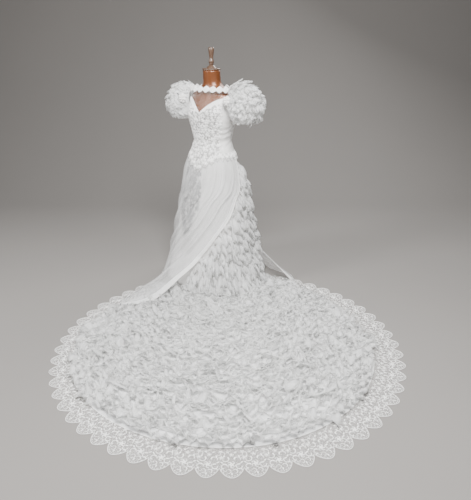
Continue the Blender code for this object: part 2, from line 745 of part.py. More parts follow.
def make_cascade(organza, skirt):
    """Tiers of ruffles on the skirt, in the opening between the overskirt's edges."""
    for tier, row in enumerate(CASCADE_ROWS):
        share = row / SKIRT_ROWS
        height = BASQUE * (1 - share)
        down = KNEE_SHARE * (BASQUE - height) / (BASQUE - KNEE_HEIGHT)
        if height < KNEE_HEIGHT:
            down = KNEE_SHARE + (1 - KNEE_SHARE) * 0.6 * (1 - height / KNEE_HEIGHT)
        start, end = overskirt_edges(down)
        first = math.ceil((start + CASCADE_MARGIN) / STEP * 2)
        last = math.floor((end + 2 * math.pi - CASCADE_MARGIN) / STEP * 2)
        columns = np.arange(first, last + 1) / 2
        out = np.array([skirt.outward(c, row) for c in columns])
        level = unit(out * [1.0, 1.0, 0.0])
        skin = np.array([skirt.point(c, row) for c in columns])
        lower = np.array([skirt.point(c, row + CASCADE_FRILL) for c in columns])
        roots = skin + out * (FRILL_OUT + CASCADE_OUT * share)
        name = f"cascade_ruffle_{tier + 1}"
        frill(name, roots, lower, level, CASCADE_FLARE, CASCADE_WAVE, organza)


def sleeve_rings(side):
    """The outer rings of a sleeve. Side is 1 for the wearer's left and -1 for the right."""
    rings = []
    for turn, inner, outer, depth in SLEEVE_RINGS:
        tilt = math.radians(turn)
        ring = []
        for k in range(SLEEVE_COLUMNS):
            around = 2 * math.pi * k / SLEEVE_COLUMNS
            far = (inner + outer) / 2 + (outer - inner) / 2 * math.cos(around)
            away = SLEEVE_PIVOT[0] + far * math.sin(tilt)
            height = SLEEVE_PIVOT[1] + far * math.cos(tilt)
            ring.append(from_body(side * away, depth * math.sin(around), height))
        rings.append(ring)
    return np.array(rings)


def make_sleeve(word, side, organza, satin):
    """A puffed sleeve open at armhole and cuff, three tiers of ruffles and a rosette."""
    outer = sleeve_rings(side)
    centres = outer.mean(axis=1, keepdims=True)
    puff = normals(outer, True)
    if ((outer - centres) * puff).sum() < 0:
        puff = -puff
    wall("sleeve_" + word, outer, outer - puff * ORGANZA, organza, closed=True)
    shell = Lookup(outer)
    shell.normal = puff
    for tier, row in enumerate(SLEEVE_TIERS):
        columns = np.arange(-TIER_REACH, TIER_REACH + 1) / 2
        roots = np.array([shell.point(c, row) + shell.outward(c, row) * FRILL_OUT for c in columns])
        lower = np.array([shell.point(c, row + TIER_FRILL) for c in columns])
        out = np.array([shell.outward(c, row + TIER_FRILL / 2) for c in columns])
        frill(f"sleeve_{word}_ruffle_{tier + 1}", roots, lower, out, TIER_FLARE, TIER_WAVE, organza)
    make_rosette(word, shell, satin)


def make_rosette(word, shell, satin):
    """A small satin rosette at the front of a sleeve, close to the collar."""
    base, out = shell.point(*ROSETTE_AT), shell.outward(*ROSETTE_AT)
    level = unit(np.cross(out, [0.0, 0.0, 1.0]))
    axes = np.array([level, np.cross(level, out), out]) * np.array(ROSETTE_SIZE)[:, None]
    middle = base + out * (ROSETTE_SIZE[2] + SEAM)
    built = bmesh.new()
    bmesh.ops.create_uvsphere(built, u_segments=12, v_segments=7, radius=1.0)
    for vert in built.verts:
        vert.co = middle + np.array(vert.co) @ axes
    mesh = bpy.data.meshes.new("rosette_" + word)
    built.to_mesh(mesh)
    built.free()
    finish("rosette_" + word, mesh, satin)


def centre_on_floor():
    """Moves all pieces so that the origin is the middle of the floor that they cover."""
    corners = np.array([v.co for o in bpy.data.objects for v in o.data.vertices])
    middle = (corners.min(axis=0) + corners.max(axis=0)) / 2
    for piece in bpy.data.objects:
        piece.location = (-middle[0], -middle[1], 0.0)


def main():
    for old in list(bpy.data.objects):
        bpy.data.objects.remove(old)
    white_satin = material("white_satin", (0.86, 0.85, 0.83), 0.35)
    organza = material("organza", (0.90, 0.90, 0.90), 0.55)
    lace = material("lace", (0.92, 0.90, 0.87), 0.7)
    net = material("net", (0.80, 0.74, 0.68), 0.8, alpha=0.4)
    copper = material("copper_cloth", (0.42, 0.20, 0.10), 0.35, 0.2)
    wood = material("turned_wood", (0.34, 0.20, 0.13), 0.35)
    steel = material("dark_steel", (0.10, 0.10, 0.11), 0.45, 1.0)
    make_form(copper, wood, steel)
    make_bodice(white_satin)
    make_yoke(net)
    make_collar(lace)
    make_band(lace)
    skirt = make_skirt(white_satin)
    edges = make_overskirt(organza, white_satin)
    make_train(organza, lace, skirt)
    make_train_ruffles(organza, skirt, edges)
    make_cascade(organza, skirt)
    make_sleeve("left", 1, organza, white_satin)
    make_sleeve("right", -1, organza, white_satin)
    for cloth in (white_satin, organza, lace, net, copper, wood, steel):
        bpy.data.materials.remove(cloth)
    centre_on_floor()


main()
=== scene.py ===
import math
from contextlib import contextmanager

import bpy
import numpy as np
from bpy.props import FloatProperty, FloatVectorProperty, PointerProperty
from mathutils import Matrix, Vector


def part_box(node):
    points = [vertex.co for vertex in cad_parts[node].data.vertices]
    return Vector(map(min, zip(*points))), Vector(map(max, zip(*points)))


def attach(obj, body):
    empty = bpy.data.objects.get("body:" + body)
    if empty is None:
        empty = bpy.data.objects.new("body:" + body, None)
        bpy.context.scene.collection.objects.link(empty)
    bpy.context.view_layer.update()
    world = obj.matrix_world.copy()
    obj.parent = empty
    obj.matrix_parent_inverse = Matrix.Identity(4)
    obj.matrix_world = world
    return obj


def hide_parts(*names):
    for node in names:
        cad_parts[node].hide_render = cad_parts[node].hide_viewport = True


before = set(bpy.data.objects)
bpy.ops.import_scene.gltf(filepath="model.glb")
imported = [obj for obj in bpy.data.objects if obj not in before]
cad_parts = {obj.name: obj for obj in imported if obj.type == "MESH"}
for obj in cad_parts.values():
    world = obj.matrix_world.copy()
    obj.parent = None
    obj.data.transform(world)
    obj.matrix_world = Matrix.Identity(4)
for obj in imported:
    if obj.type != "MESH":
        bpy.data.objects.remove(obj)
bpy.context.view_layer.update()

# A wedding dress on a dress form: boned satin bodice under beaded lace, net yoke, puffed
# sleeves, satin skirt under an open organza overskirt, and a ruffled train edged with lace.
# Metres, +Z up. Pieces are worked out with the form's pole at the origin, and stand_on_pole
# moves them to where the frame has it. Angles round the body start at the centre front and
# grow towards the wearer's left. Grids of points run down the cloth by rows and round it by
# columns.

bl_info = {
    "name": "Wedding dress on a dress form",
    "version": (1, 0, 0),
    "blender": (4, 5, 0),
    "location": "View3D > Sidebar > Dress",
    "description": "Sews the dress, its lace, beads and ruffles onto the measured form",
    "category": "Object",
}

POLE = (np.array(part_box("form_pole")[0]) + np.array(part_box("form_pole")[1])) / 2
POLE[2] = 0.0

FACING = math.radians(38)  # how far the form is turned from the way the train lies
LEFT = np.array([math.cos(FACING), -math.sin(FACING), 0.0])
FRONT = np.array([-math.sin(FACING), -math.cos(FACING), 0.0])
UP = np.array([0.0, 0.0, 1.0])
SEAM = 0.0003
SATIN = 0.0018
ORGANZA = 0.0012

# The figure: height, half width, half depth, shift to the front
FIGURE = (
    (0.740, 0.160, 0.118, 0.004),
    (0.780, 0.167, 0.124, 0.004),
    (0.830, 0.165, 0.124, 0.004),
    (0.893, 0.156, 0.118, 0.003),
    (0.974, 0.1372, 0.0972, 0.000),
    (1.040, 0.150, 0.106, 0.001),
    (1.100, 0.1642, 0.117, 0.002),
    (1.160, 0.1642, 0.119, 0.002),
    (1.200, 0.1642, 0.106, 0.000),
    (1.240, 0.1642, 0.093, -0.004),
    (1.265, 0.156, 0.084, -0.006),
    (1.285, 0.131, 0.075, -0.007),
    (1.305, 0.099, 0.067, -0.006),
    (1.325, 0.071, 0.061, -0.004),
    (1.350, 0.0585, 0.0575, -0.001),
    (1.425, 0.0560, 0.0560, 0.002),
)
WAIST = 0.974
FORM_BOTTOM = 0.740
NECK_TOP = 1.425
FORM_BUST = 0.3
BUST_HEIGHT = 1.155
BUST_SPREAD = 0.048
BUST_DEPTH = 0.020
BUST_ANGLE = math.radians(33)
BUST_WIDTH = math.radians(21)
EASE = 0.0035
WAIST_EASE = 0.0005
WAIST_GRIP = 0.03
POINT_EASE = 0.0155

# The bodice
NOTCH = 1.150
ARMHOLE_TOP = 1.238
SWEETHEART_REACH = math.radians(72)
BACK_TOP = 1.215
BASQUE = 0.888
BASQUE_POINT = 0.078
BASQUE_REACH = math.radians(46)
SEAMS = (math.radians(51), math.radians(129))
ALL_SEAMS = (*SEAMS, -SEAMS[0], -SEAMS[1])

# The yoke, its collar and the band on the basque seam
COLLAR_HEIGHT = 1.302
COLLAR_WIDTH = 0.1700
COLLAR_DEPTH = 0.0900
YOKE_END = math.radians(77)
YOKE_SEAM = 0.0008
DIAMONDS = 21
BAND_POINTS = 28
BAND_BEADS = 600
BASQUE_FLOWER = 0.0100

# The skirt: height, half width, half depth, shift to the front
SKIRT = (
    (0.000, 0.345, 0.335, 0.000),
    (0.200, 0.297, 0.277, 0.000),
    (0.400, 0.260, 0.232, 0.000),
    (0.600, 0.228, 0.190, 0.004),
    (0.700, 0.209, 0.170, 0.006),
    (0.820, 0.185, 0.146, 0.007),
    (0.893, 0.1613, 0.1233, 0.003),
    (0.974, 0.1395, 0.0995, 0.000),
)
SKIRT_FOLDS = 7
SKIRT_FOLD = 0.008
TRAIN_FLARE = 0.085
TRAIN_FLARE_TOP = 0.32
TRAIN_SIDE = math.radians(63)
TRAIN_SIDE_WIDTH = math.radians(42)

# The overskirt: share of the way down, angle of the front edge, angle of the back edge
OVERSKIRT_EDGES = (
    (0.00, 103, -195),
    (0.12, 99, -198),
    (0.24, 90, -203),
    (0.30, 76, -207),
    (0.42, 60, -219),
    (0.56, 38, -231),
    (0.70, 19, -241),
    (0.82, 5, -246),
    (0.92, 2, -248),
    (1.00, -6, -249),
)
UNDER_BAND = 0.004
OVER_LACE = 0.0048  # clears the lace on the skirt
KNEE_SHARE = 0.70
KNEE_HEIGHT = 0.23
OVERSKIRT_HEM = 0.385
HEM_REACH_LEFT = 0.445
HEM_REACH_RIGHT = 0.215
OVERSKIRT_FOLDS = 9
OVERSKIRT_FOLD = 0.009
GATHERS = 70
GATHER_HEIGHT = 0.0030
FAN_FOLDS = 15
FINE_FOLDS = 41
FAN_HEIGHT = 0.0100
FAN_HEIGHT_MORE = 0.0030  # at the front edge
BINDING = 0.009

# The train
TRAIN_CENTRE = np.array([0.112, -1.050])
TRAIN_RADIUS = (0.912, 0.055, 0.010)
TRAIN_ENDS = (math.radians(-151), math.radians(161))
TRAIN_SEAM_ENDS = (math.radians(-17), math.radians(109))
TRAIN_THICK = 0.002
LACE_WIDTH = 0.110
LACE_NARROWER = 0.050
GORES = ("left", "front_left", "front_right", "right")
SCALLOPS = 48
SCALLOP_DEPTH = 0.050
TRAIN_RIM = 0.026  # from the last ruffle to the train's edge
TRAIN_FOOT = np.array([0.050, -0.450])
OVERSKIRT_LOW = 0.11

# A sleeve's rings turn about a point at the armpit: turn from the upright armhole, inner and
# outer distance from that point, half depth
SLEEVE_RINGS = (
    (0, 0.040, 0.198, 0.046),
    (15, 0.026, 0.232, 0.080),
    (30, 0.019, 0.244, 0.098),
    (45, 0.018, 0.241, 0.100),
    (60, 0.020, 0.222, 0.096),
    (75, 0.026, 0.186, 0.080),
    (90, 0.032, 0.142, 0.055),
)
SLEEVE_PIVOT = (0.1727, 1.100)
SLEEVE_SIDES = {"left": 1, "right": -1}


# Curves and surfaces


def smooth(at, xs, ys):
    """A smooth curve through a short table, which never overshoots its values."""
    xs, ys = np.asarray(xs, float), np.asarray(ys, float)
    step = np.diff(xs)
    slope = np.diff(ys) / step
    both = slope[:-1] + slope[1:]
    product = slope[:-1] * slope[1:]
    inner = np.where(product > 0, 2 * product / np.where(product > 0, both, 1.0), 0.0)
    tangent = np.concatenate([slope[:1], inner, slope[-1:]])
    k = np.clip(np.searchsorted(xs, at) - 1, 0, len(step) - 1)
    t = np.clip((at - xs[k]) / step[k], 0, 1)
    ends = (2 * t**3 - 3 * t**2 + 1) * ys[k] + (3 * t**2 - 2 * t**3) * ys[k + 1]
    bends = (t**3 - 2 * t**2 + t) * tangent[k] + (t**3 - t**2) * tangent[k + 1]
    return ends + step[k] * bends


def section(table, height):
    """Half width, half depth and forward shift of a body at a height."""
    columns = list(zip(*table))
    return [smooth(height, columns[0], column) for column in columns[1:]]


def unit(vectors):
    return vectors / np.maximum(np.linalg.norm(vectors, axis=-1, keepdims=True), 1e-9)


def from_body(side, front, height):
    """Points from their distances to the wearer's left and to the front."""
    side, front, height = np.broadcast_arrays(side, front, height)
    return side[..., None] * LEFT + front[..., None] * FRONT + height[..., None] * UP


def wrap(angle):
    """The same angle between minus and plus half a turn."""
    return (np.asarray(angle) + math.pi) % (2 * math.pi) - math.pi


def bell(x):
    """A smooth hump of height 1, about 1 wide to each side."""
    return np.exp(-(np.asarray(x) ** 2))


def ripple(x, y, seed, waves=6):
    """Smooth irregular waves about 1 long, between about minus and plus 1."""
    draw = np.random.default_rng(seed)
    total = 0.0
    for turn, size, phase in zip(*draw.uniform((0, 0.6, 0), (math.pi, 1.5, 6.3), (waves, 3)).T):
        total = total + np.sin(2 * math.pi * size * (x * math.cos(turn) + y * math.sin(turn)) + phase)
    return total / math.sqrt(waves)


def bust(angle, height):
    """How far the cups stand out to the front."""
    across = bell((abs(wrap(angle)) - BUST_ANGLE) / BUST_WIDTH)
    return BUST_DEPTH * across * bell((height - BUST_HEIGHT) / BUST_SPREAD)


def figure_point(angle, height, out=0.0, full=1.0):
    """Points of the figure's surface, moved out, with full or smaller cups."""
    width, depth, shift = section(FIGURE, height)
    front = (depth + out) * np.cos(angle) + shift + full * bust(angle, height)
    return from_body((width + out) * np.sin(angle), front, height)


def ease(height):
    """Air between the form and the bodice, which grips it at the waist."""
    share = np.minimum(1.0, abs(height - WAIST) / WAIST_GRIP)
    below = np.maximum(0.0, BASQUE - height) / BASQUE_POINT
    return WAIST_EASE + (EASE - WAIST_EASE) * share + POINT_EASE * below


def bodice_point(angle, height, out=0.0):
    """Points of the bodice's outer side, moved out."""
    return figure_point(angle, height, ease(height) + SATIN + out)


def neckline(angle):
    """Height of the bodice's top edge: a sweetheart in front, straight at the back."""
    turn = abs(wrap(angle))
    rise = 1 - np.maximum(0.0, 1 - turn / SWEETHEART_REACH) ** 1.8
    share = np.clip((turn - SWEETHEART_REACH) / (math.pi - SWEETHEART_REACH), 0, 1)
    return NOTCH + (ARMHOLE_TOP - NOTCH) * rise + (BACK_TOP - ARMHOLE_TOP) * share


def basque(angle):
    """Height of the seam of bodice and skirt, with its point at the centre front."""
    share = np.maximum(0.0, 1 - abs(wrap(angle)) / BASQUE_REACH)
    return BASQUE - BASQUE_POINT * share**1.15


def yoke_point(angle, height, out=0.0):
    """Points on the straight lines from the neckline up to the collar."""
    low = neckline(angle) + YOKE_SEAM
    base = figure_point(angle, low, ease(low) + SATIN - ORGANZA / 2)
    top = from_body(COLLAR_WIDTH * np.sin(angle), COLLAR_DEPTH * np.cos(angle) - 0.004, COLLAR_HEIGHT)
    line = base + (top - base) * ((height - low) / (COLLAR_HEIGHT - low))[..., None]
    return line + from_body(out * np.sin(angle), out * np.cos(angle), 0.0)


def skirt_point(angle, height, out=0.0):
    """Points of the skirt's outer side, moved out."""
    width, depth, shift = section(SKIRT, height)
    fall = np.maximum(0.0, 1 - height / BASQUE)
    fold = SKIRT_FOLD * fall * np.sin(SKIRT_FOLDS * angle)
    train = bell(wrap(angle - TRAIN_SIDE) / TRAIN_SIDE_WIDTH)
    flare = TRAIN_FLARE * np.maximum(0.0, 1 - height / TRAIN_FLARE_TOP) ** 2 * train
    more = out + fold + flare
    return from_body((width + more) * np.sin(angle), (depth + more) * np.cos(angle) + shift, height)


def overskirt_edges(share):
    """Angles of the front and back edge at a share of the way down."""
    shares, front, back = zip(*OVERSKIRT_EDGES)
    return [np.radians(smooth(share, shares, edge)) for edge in (front, back)]


def overskirt_folds(across, share):
    """How far the overskirt's finer folds stand out: gathers under the waist, and long folds
    that fan out from the waist and follow the front edge down."""
    gather = np.sin(2 * math.pi * (GATHERS * across + 0.8 * ripple(9 * across, 0.6 * share, 3)))
    gather = gather * bell(share / 0.20) * np.minimum(1.0, share / 0.03)
    drift = across + 0.012 * ripple(3 * across, 1.5 * share, 5)
    turn = 2 * math.pi * FAN_FOLDS * drift
    fine = 0.35 * np.sin(2 * math.pi * FINE_FOLDS * drift + 1.0)
    fan = np.sin(turn) + 0.45 * np.sin(2 * turn + 0.7) + fine
    height = FAN_HEIGHT + FAN_HEIGHT_MORE * bell(across / 0.3)
    return GATHER_HEIGHT * gather + height * fan * np.minimum(1.0, share / 0.12)


def overskirt_point(across, share, finer=1.0):
    """Points of the overskirt: across from front to back edge, share of the way down."""
    across, share = np.broadcast_arrays(across, share)
    front, back = overskirt_edges(share)
    angle = front + (back - front) * across
    pleat = np.sin(2 * math.pi * OVERSKIRT_FOLDS * (across + 0.04 * np.sin(5 * share)))
    top = basque(angle) - UNDER_BAND
    down = np.minimum(1.0, share / KNEE_SHARE)
    height = top + (KNEE_HEIGHT - top) * down
    finer = finer * overskirt_folds(across, share) * np.minimum(1.0, 12 * across)
    away = 0.0024 + 0.018 * down**0.9 + OVERSKIRT_FOLD * down * pleat * 0.5
    start = skirt_point(angle, height, np.maximum(away + finer, OVER_LACE))
    past = np.clip((share - KNEE_SHARE) / (1 - KNEE_SHARE), 0, 1)
    end_front, end_back = overskirt_edges(np.array(1.0))
    from_front = np.maximum(0.0, np.degrees(end_front - angle))
    from_back = np.maximum(0.0, np.degrees(angle - end_back))
    reach = OVERSKIRT_HEM + HEM_REACH_LEFT * bell(from_front / 15)
    reach = reach + HEM_REACH_RIGHT * bell(from_back / 20) + OVERSKIRT_FOLD * pleat * past
    lies = 0.0008 + 0.0036 * np.minimum(1.0, bell((from_front / 40) ** 2) + bell((from_back / 30) ** 2))
    start_reach = np.linalg.norm(start[..., :2], axis=-1)
    hem_skirt = np.linalg.norm(skirt_point(angle, np.zeros_like(angle))[..., :2], axis=-1)
    taut = bell(from_back / 25)
    bend_reach = np.maximum(start_reach + (0.3 + 0.15 * taut) * (reach - start_reach), hem_skirt + 0.018)
    reach = np.maximum(reach, hem_skirt + 0.022)
    way = unit(start[..., :2])
    bend = np.concatenate([way * bend_reach[..., None], (0.045 + 0.075 * taut)[..., None]], axis=-1)
    lift = lies + np.maximum(0.0, 1.6 * finer * (1 - past) + 0.8 * finer)
    end = np.concatenate([way * reach[..., None], lift[..., None]], axis=-1)
    past = past[..., None]
    return (1 - past) ** 2 * start + 2 * past * (1 - past) * bend + past**2 * end


def train_outline(turn, inside=0.0):
    """Points of the train's outline. The turn starts at the front and grows to the right."""
    mean, back, oval = TRAIN_RADIUS
    radius = mean - back * np.cos(turn) + oval * np.cos(2 * turn) - inside
    return TRAIN_CENTRE + radius[..., None] * np.stack([np.sin(turn), -np.cos(turn)], axis=-1)


def train_turn(share):
    return TRAIN_ENDS[0] + (TRAIN_ENDS[1] - TRAIN_ENDS[0]) * share


def train_edge(share):
    """Points of the edge where the train meets its lace."""
    turn = train_turn(share)
    narrower = LACE_NARROWER * np.maximum(0.0, -np.sin(turn)) ** 2
    return train_outline(turn, LACE_WIDTH - narrower)


def train_seam(share):
    """Points of the seam of train and skirt, just outside the skirt's hem."""
    angle = TRAIN_SEAM_ENDS[0] + (TRAIN_SEAM_ENDS[1] - TRAIN_SEAM_ENDS[0]) * share
    return skirt_point(angle, np.zeros_like(angle), 0.0005)[..., :2]


def on_floor(plan, height):
    """Points over a plan of the floor."""
    height = np.broadcast_to(height, plan.shape[:-1])
    return np.concatenate([plan, height[..., None]], axis=-1)


def sleeve_point(side, turn, around, out=0.0):
    """Points of a sleeve: turn from armhole to cuff in degrees, around from the shoulder."""
    turns, inner, outer, depth = zip(*SLEEVE_RINGS)
    inner, outer, depth = (smooth(turn, turns, row) for row in (inner, outer, depth))
    far = (inner + outer) / 2 + ((outer - inner) / 2 + out) * np.cos(around)
    tilt = np.radians(turn)
    away = SLEEVE_PIVOT[0] + far * np.sin(tilt)
    return from_body(side * away, (depth + out) * np.sin(around), SLEEVE_PIVOT[1] + far * np.cos(tilt))


def even(line, count):
    """A line of points, read again at even steps."""
    far = np.concatenate([[0], np.cumsum(np.linalg.norm(np.diff(line, axis=0), axis=1))])
    steps = np.linspace(0, far[-1], count)
    return np.column_stack([np.interp(steps, far, line[:, k]) for k in range(line.shape[1])])


def length_of(line):
    return float(np.linalg.norm(np.diff(line, axis=0), axis=-1).sum())


def grid_of(surface, first, last, top, bottom, columns, rows):
    """A grid of points of a surface. Its top and bottom may follow the angle."""
    angle, share = np.meshgrid(np.linspace(first, last, columns), np.linspace(0, 1, rows))
    high = top(angle) if callable(top) else top
    low = bottom(angle) if callable(bottom) else bottom
    return surface(angle, high + (low - high) * share)


# Finishes


class Value:
    """A socket of a finish, which can be used in sums."""

    def __init__(self, finish, socket):
        self.finish = finish
        self.socket = socket

    def sum(self, operation, *values):
        return self.finish.node("Math", {"operation": operation}, dict(enumerate(values)))

    def __add__(self, other):
        return self.sum("ADD", self, other)

    def __sub__(self, other):
        return self.sum("SUBTRACT", self, other)

    def __rsub__(self, other):
        return self.sum("SUBTRACT", other, self)

    def __mul__(self, other):
        return self.sum("MULTIPLY", self, other)

    def __lt__(self, other):
        return self.sum("LESS_THAN", self, other)

    def __gt__(self, other):
        return self.sum("GREATER_THAN", self, other)

    def at_least(self, other):
        return self.sum("MAXIMUM", self, other)

    __radd__ = __add__
    __rmul__ = __mul__


class Finish:
    """A material made of nodes. Constant settings go straight on the shader's sockets."""

    def __init__(self, name, glow=0.0, **settings):
        self.glow = glow
        self.material = bpy.data.materials.new(name)
        self.material.use_nodes = True
        self.tree = self.material.node_tree
        self.shader = self.tree.nodes["Principled BSDF"]
        for socket, value in settings.items():
            self.shader.inputs[socket.replace("_", " ").title()].default_value = value
        self.cloth = self.node("UVMap", {"uv_map": "Cloth"})
        self.share = self.node("UVMap", {"uv_map": "Share"})
        self.place = self.node("TexCoord", output="Object")

    def node(self, kind, settings=None, inputs=None, output=0):
        """Adds a node, sets it, and gives it values or links. Returns one of its outputs."""
        made = self.tree.nodes.new("ShaderNode" + kind)
        for key, value in (settings or {}).items():
            setattr(made, key, value)
        for key, value in (inputs or {}).items():
            if isinstance(value, Value):
                self.tree.links.new(value.socket, made.inputs[key])
            else:
                made.inputs[key].default_value = value
        return Value(self, made.outputs[output])

    def noise(self, scale, where=None, detail=3.0):
        inputs = {"Vector": where or self.place, "Scale": scale, "Detail": detail}
        return self.node("TexNoise", {}, inputs)

    def threads(self, pitch, direction):
        """Parallel threads along or across the cloth, from 0 between them to 1."""
        inputs = {"Vector": self.cloth, "Scale": 0.5 / pitch, "Distortion": 0.4, "Detail": 1.0}
        return self.node("TexWave", {"bands_direction": direction}, inputs, "Fac")

    def weave(self, pitch):
        return self.threads(pitch, "X") * 0.5 + self.threads(pitch, "Y") * 0.5

    def shade(self, mask, dark, light):
        inputs = {"Factor": mask, 6: (*dark, 1.0), 7: (*light, 1.0)}
        return self.node("Mix", {"data_type": "RGBA"}, inputs, 2)

    def relief(self, height, distance):
        return self.node("Bump", {}, {"Height": height, "Distance": distance, "Strength": 0.6}, "Normal")

    def hem(self, start, side):
        """1 along the free edge of a strip, from a share of its width on, and at its sides."""
        across = self.node("SeparateXYZ", {}, {"Vector": self.share}, "X")
        edge = across.at_least(1.0 - across) > 1.0 - side
        return (self.node("SeparateXYZ", {}, {"Vector": self.share}, "Y") > start).at_least(edge)

    def feed(self, **links):
        """Links values to the shader. Cloth that glows lets light through where it is dense."""
        for socket, value in links.items():
            self.tree.links.new(value.socket, self.shader.inputs[socket.replace("_", " ").title()])
        if self.glow:
            through = self.node("BsdfTranslucent", {}, {"Color": (0.95, 0.95, 0.94, 1.0)})
            both = {"Fac": links["alpha"] * self.glow, 1: Value(self, self.shader.outputs[0]), 2: through}
            mixed = self.node("MixShader", {}, both)
            self.tree.links.new(mixed.socket, self.tree.nodes["Material Output"].inputs["Surface"])
        return self.material


def tint(colour, share):
    """A colour made darker or lighter."""
    return tuple(min(1.0, channel * share) for channel in colour)


def satin(name, share=1.0):
    """Duchess satin: smooth, with a soft sheen and fine creases. Under lace and organza it is
    a share of its full brightness: the same satin darkened as painted shade."""
    colour = tint(bpy.context.scene.dress_colours.satin, share)
    finish = Finish(name, sheen_weight=0.25, sheen_roughness=0.35, coat_weight=0.12)
    cloud = finish.noise(14.0)
    crease = finish.noise(38.0, detail=2.0)
    height = crease * 0.8 + finish.weave(0.0006) * 0.12
    return finish.feed(
        base_color=finish.shade(cloud, tint(colour, 0.93), tint(colour, 1.04)),
        roughness=cloud * 0.16 + 0.27,
        normal=finish.relief(height, 0.0012),
    )


def sheer(name, low, high, body=0.9, glow=0.45, start=0.90, side=0.0, folds=130.0):
    """Organza that lets some of what lies behind it show, more between its threads, with a
    denser rolled hem. Where it is gathered it lies in denser and thinner streaks, so many to a
    metre, which run down the cloth. Hem and dense streaks are painted lighter and the thin body
    darker: partly their real density, partly painted highlight and painted shade."""
    colour = tuple(bpy.context.scene.dress_colours.organza)
    finish = Finish(name, glow, sheen_weight=0.35, sheen_roughness=0.4)
    cloud = finish.noise(9.0)
    threads = finish.weave(0.0009)
    hem = finish.hem(start, side)
    down = finish.node("Mapping", {}, {"Vector": finish.cloth, "Scale": (folds, folds / 22, 1.0)})
    streak = finish.noise(1.0, down, 2.0)
    veil = (streak * 0.6 + threads * 0.4) * (high - low) + low
    # Painted highlight on the hem and the dense streaks and painted shade on the thin body between them,
    # partly standing for the real density of the cloth there.
    light = (streak * 1.8 - 0.4 + cloud * 0.2).at_least(hem)
    return finish.feed(
        base_color=finish.shade(light, tint(colour, body), tint(colour, 1.08)),
        roughness=threads * 0.15 + 0.42,
        alpha=veil.at_least(hem),
        normal=finish.relief(threads * 0.2 + finish.noise(60.0, detail=2.0) * 0.6, 0.0008),
    )


def thread(name, share=1.0):
    """Embroidery of matt thread: white, or a share of it for darker copies, which are painted shade on
    leaves and on the basque band, and for beige thread.
    """
    colour = tint(bpy.context.scene.dress_colours.lace, share)
    finish = Finish(name, sheen_weight=0.3, sheen_roughness=0.5)
    twist = finish.noise(900.0, detail=2.0)
    cloud = finish.noise(25.0)
    return finish.feed(
        base_color=finish.shade(cloud, tint(colour, 0.93), tint(colour, 1.05)),
        roughness=twist * 0.25 + 0.45,
        normal=finish.relief(twist, 0.0006),
    )


def net(name, pitch, veil, thick):
    """Net of small round meshes, so far apart: a thin veil between threads that are so thick."""
    colour = tuple(bpy.context.scene.dress_colours.lace)
    finish = Finish(name, sheen_weight=0.2, sheen_roughness=0.5)
    inputs = {"Vector": finish.cloth, "Scale": 1.0 / pitch, "Randomness": 0.25}
    cells = finish.node("TexVoronoi", {"feature": "DISTANCE_TO_EDGE"}, inputs, "Distance")
    lines = cells < thick
    return finish.feed(
        base_color=finish.shade(finish.noise(20.0), tint(colour, 0.94), tint(colour, 1.04)),
        roughness=lines * -0.1 + 0.7,
        alpha=lines * (1.0 - veil) + veil,
        normal=finish.relief(lines * 1.0, 0.0005),
    )


def pearl(name):
    """Small pearl beads and sequins."""
    finish = Finish(name, coat_weight=0.6, coat_roughness=0.1)
    cloud = finish.noise(60.0)
    return finish.feed(
        base_color=finish.shade(cloud, (0.62, 0.59, 0.55), (0.92, 0.91, 0.89)),
        roughness=cloud * 0.15 + 0.12,
    )


def copper(name):
    """The form's cover: copper-brown satin over padding."""
    colour = tuple(bpy.context.scene.dress_colours.copper)
    finish = Finish(name, sheen_weight=0.1, sheen_roughness=0.3, coat_weight=0.1)
    cloud = finish.noise(11.0)
    return finish.feed(
        base_color=finish.shade(cloud, tint(colour, 0.78), tint(colour, 1.15)),
        roughness=cloud * 0.2 + 0.24,
        metallic=cloud * 0.2 + 0.15,
        normal=finish.relief(finish.noise(70.0) * 0.6 + finish.weave(0.0008) * 0.2, 0.0008),
    )


def wood(name):
    """Varnished turned wood, its grain along the turning."""
    colour = tuple(bpy.context.scene.dress_colours.wood)
    finish = Finish(name, coat_weight=0.3, coat_roughness=0.2)
    along = finish.node("Mapping", {}, {"Vector": finish.place, "Scale": (60.0, 60.0, 6.0)})
    grain = finish.noise(3.0, along, 5.0)
    return finish.feed(
        base_color=finish.shade(grain, tint(colour, 0.5), tint(colour, 1.5)),
        roughness=grain * 0.2 + 0.3,
        normal=finish.relief(grain, 0.0004),
    )


def steel(name):
    """Dark painted steel of pole and foot, rubbed in places."""
    colour = tuple(bpy.context.scene.dress_colours.steel)
    finish = Finish(name)
    rubbed = finish.noise(18.0, detail=6.0)
    return finish.feed(
        base_color=finish.shade(rubbed, tint(colour, 0.7), tint(colour, 1.6)),
        roughness=rubbed * 0.3 + 0.3,
        metallic=rubbed * 0.4 + 0.5,
        normal=finish.relief(finish.noise(300.0), 0.0002),
    )


def backdrop(name):
    """A plain pale floor."""
    finish = Finish(name, roughness=0.85)
    cloud = finish.noise(1.3)
    colour = tuple(bpy.context.scene.dress_colours.floor)
    return finish.feed(base_color=finish.shade(cloud, tint(colour, 0.97), tint(colour, 1.03)))


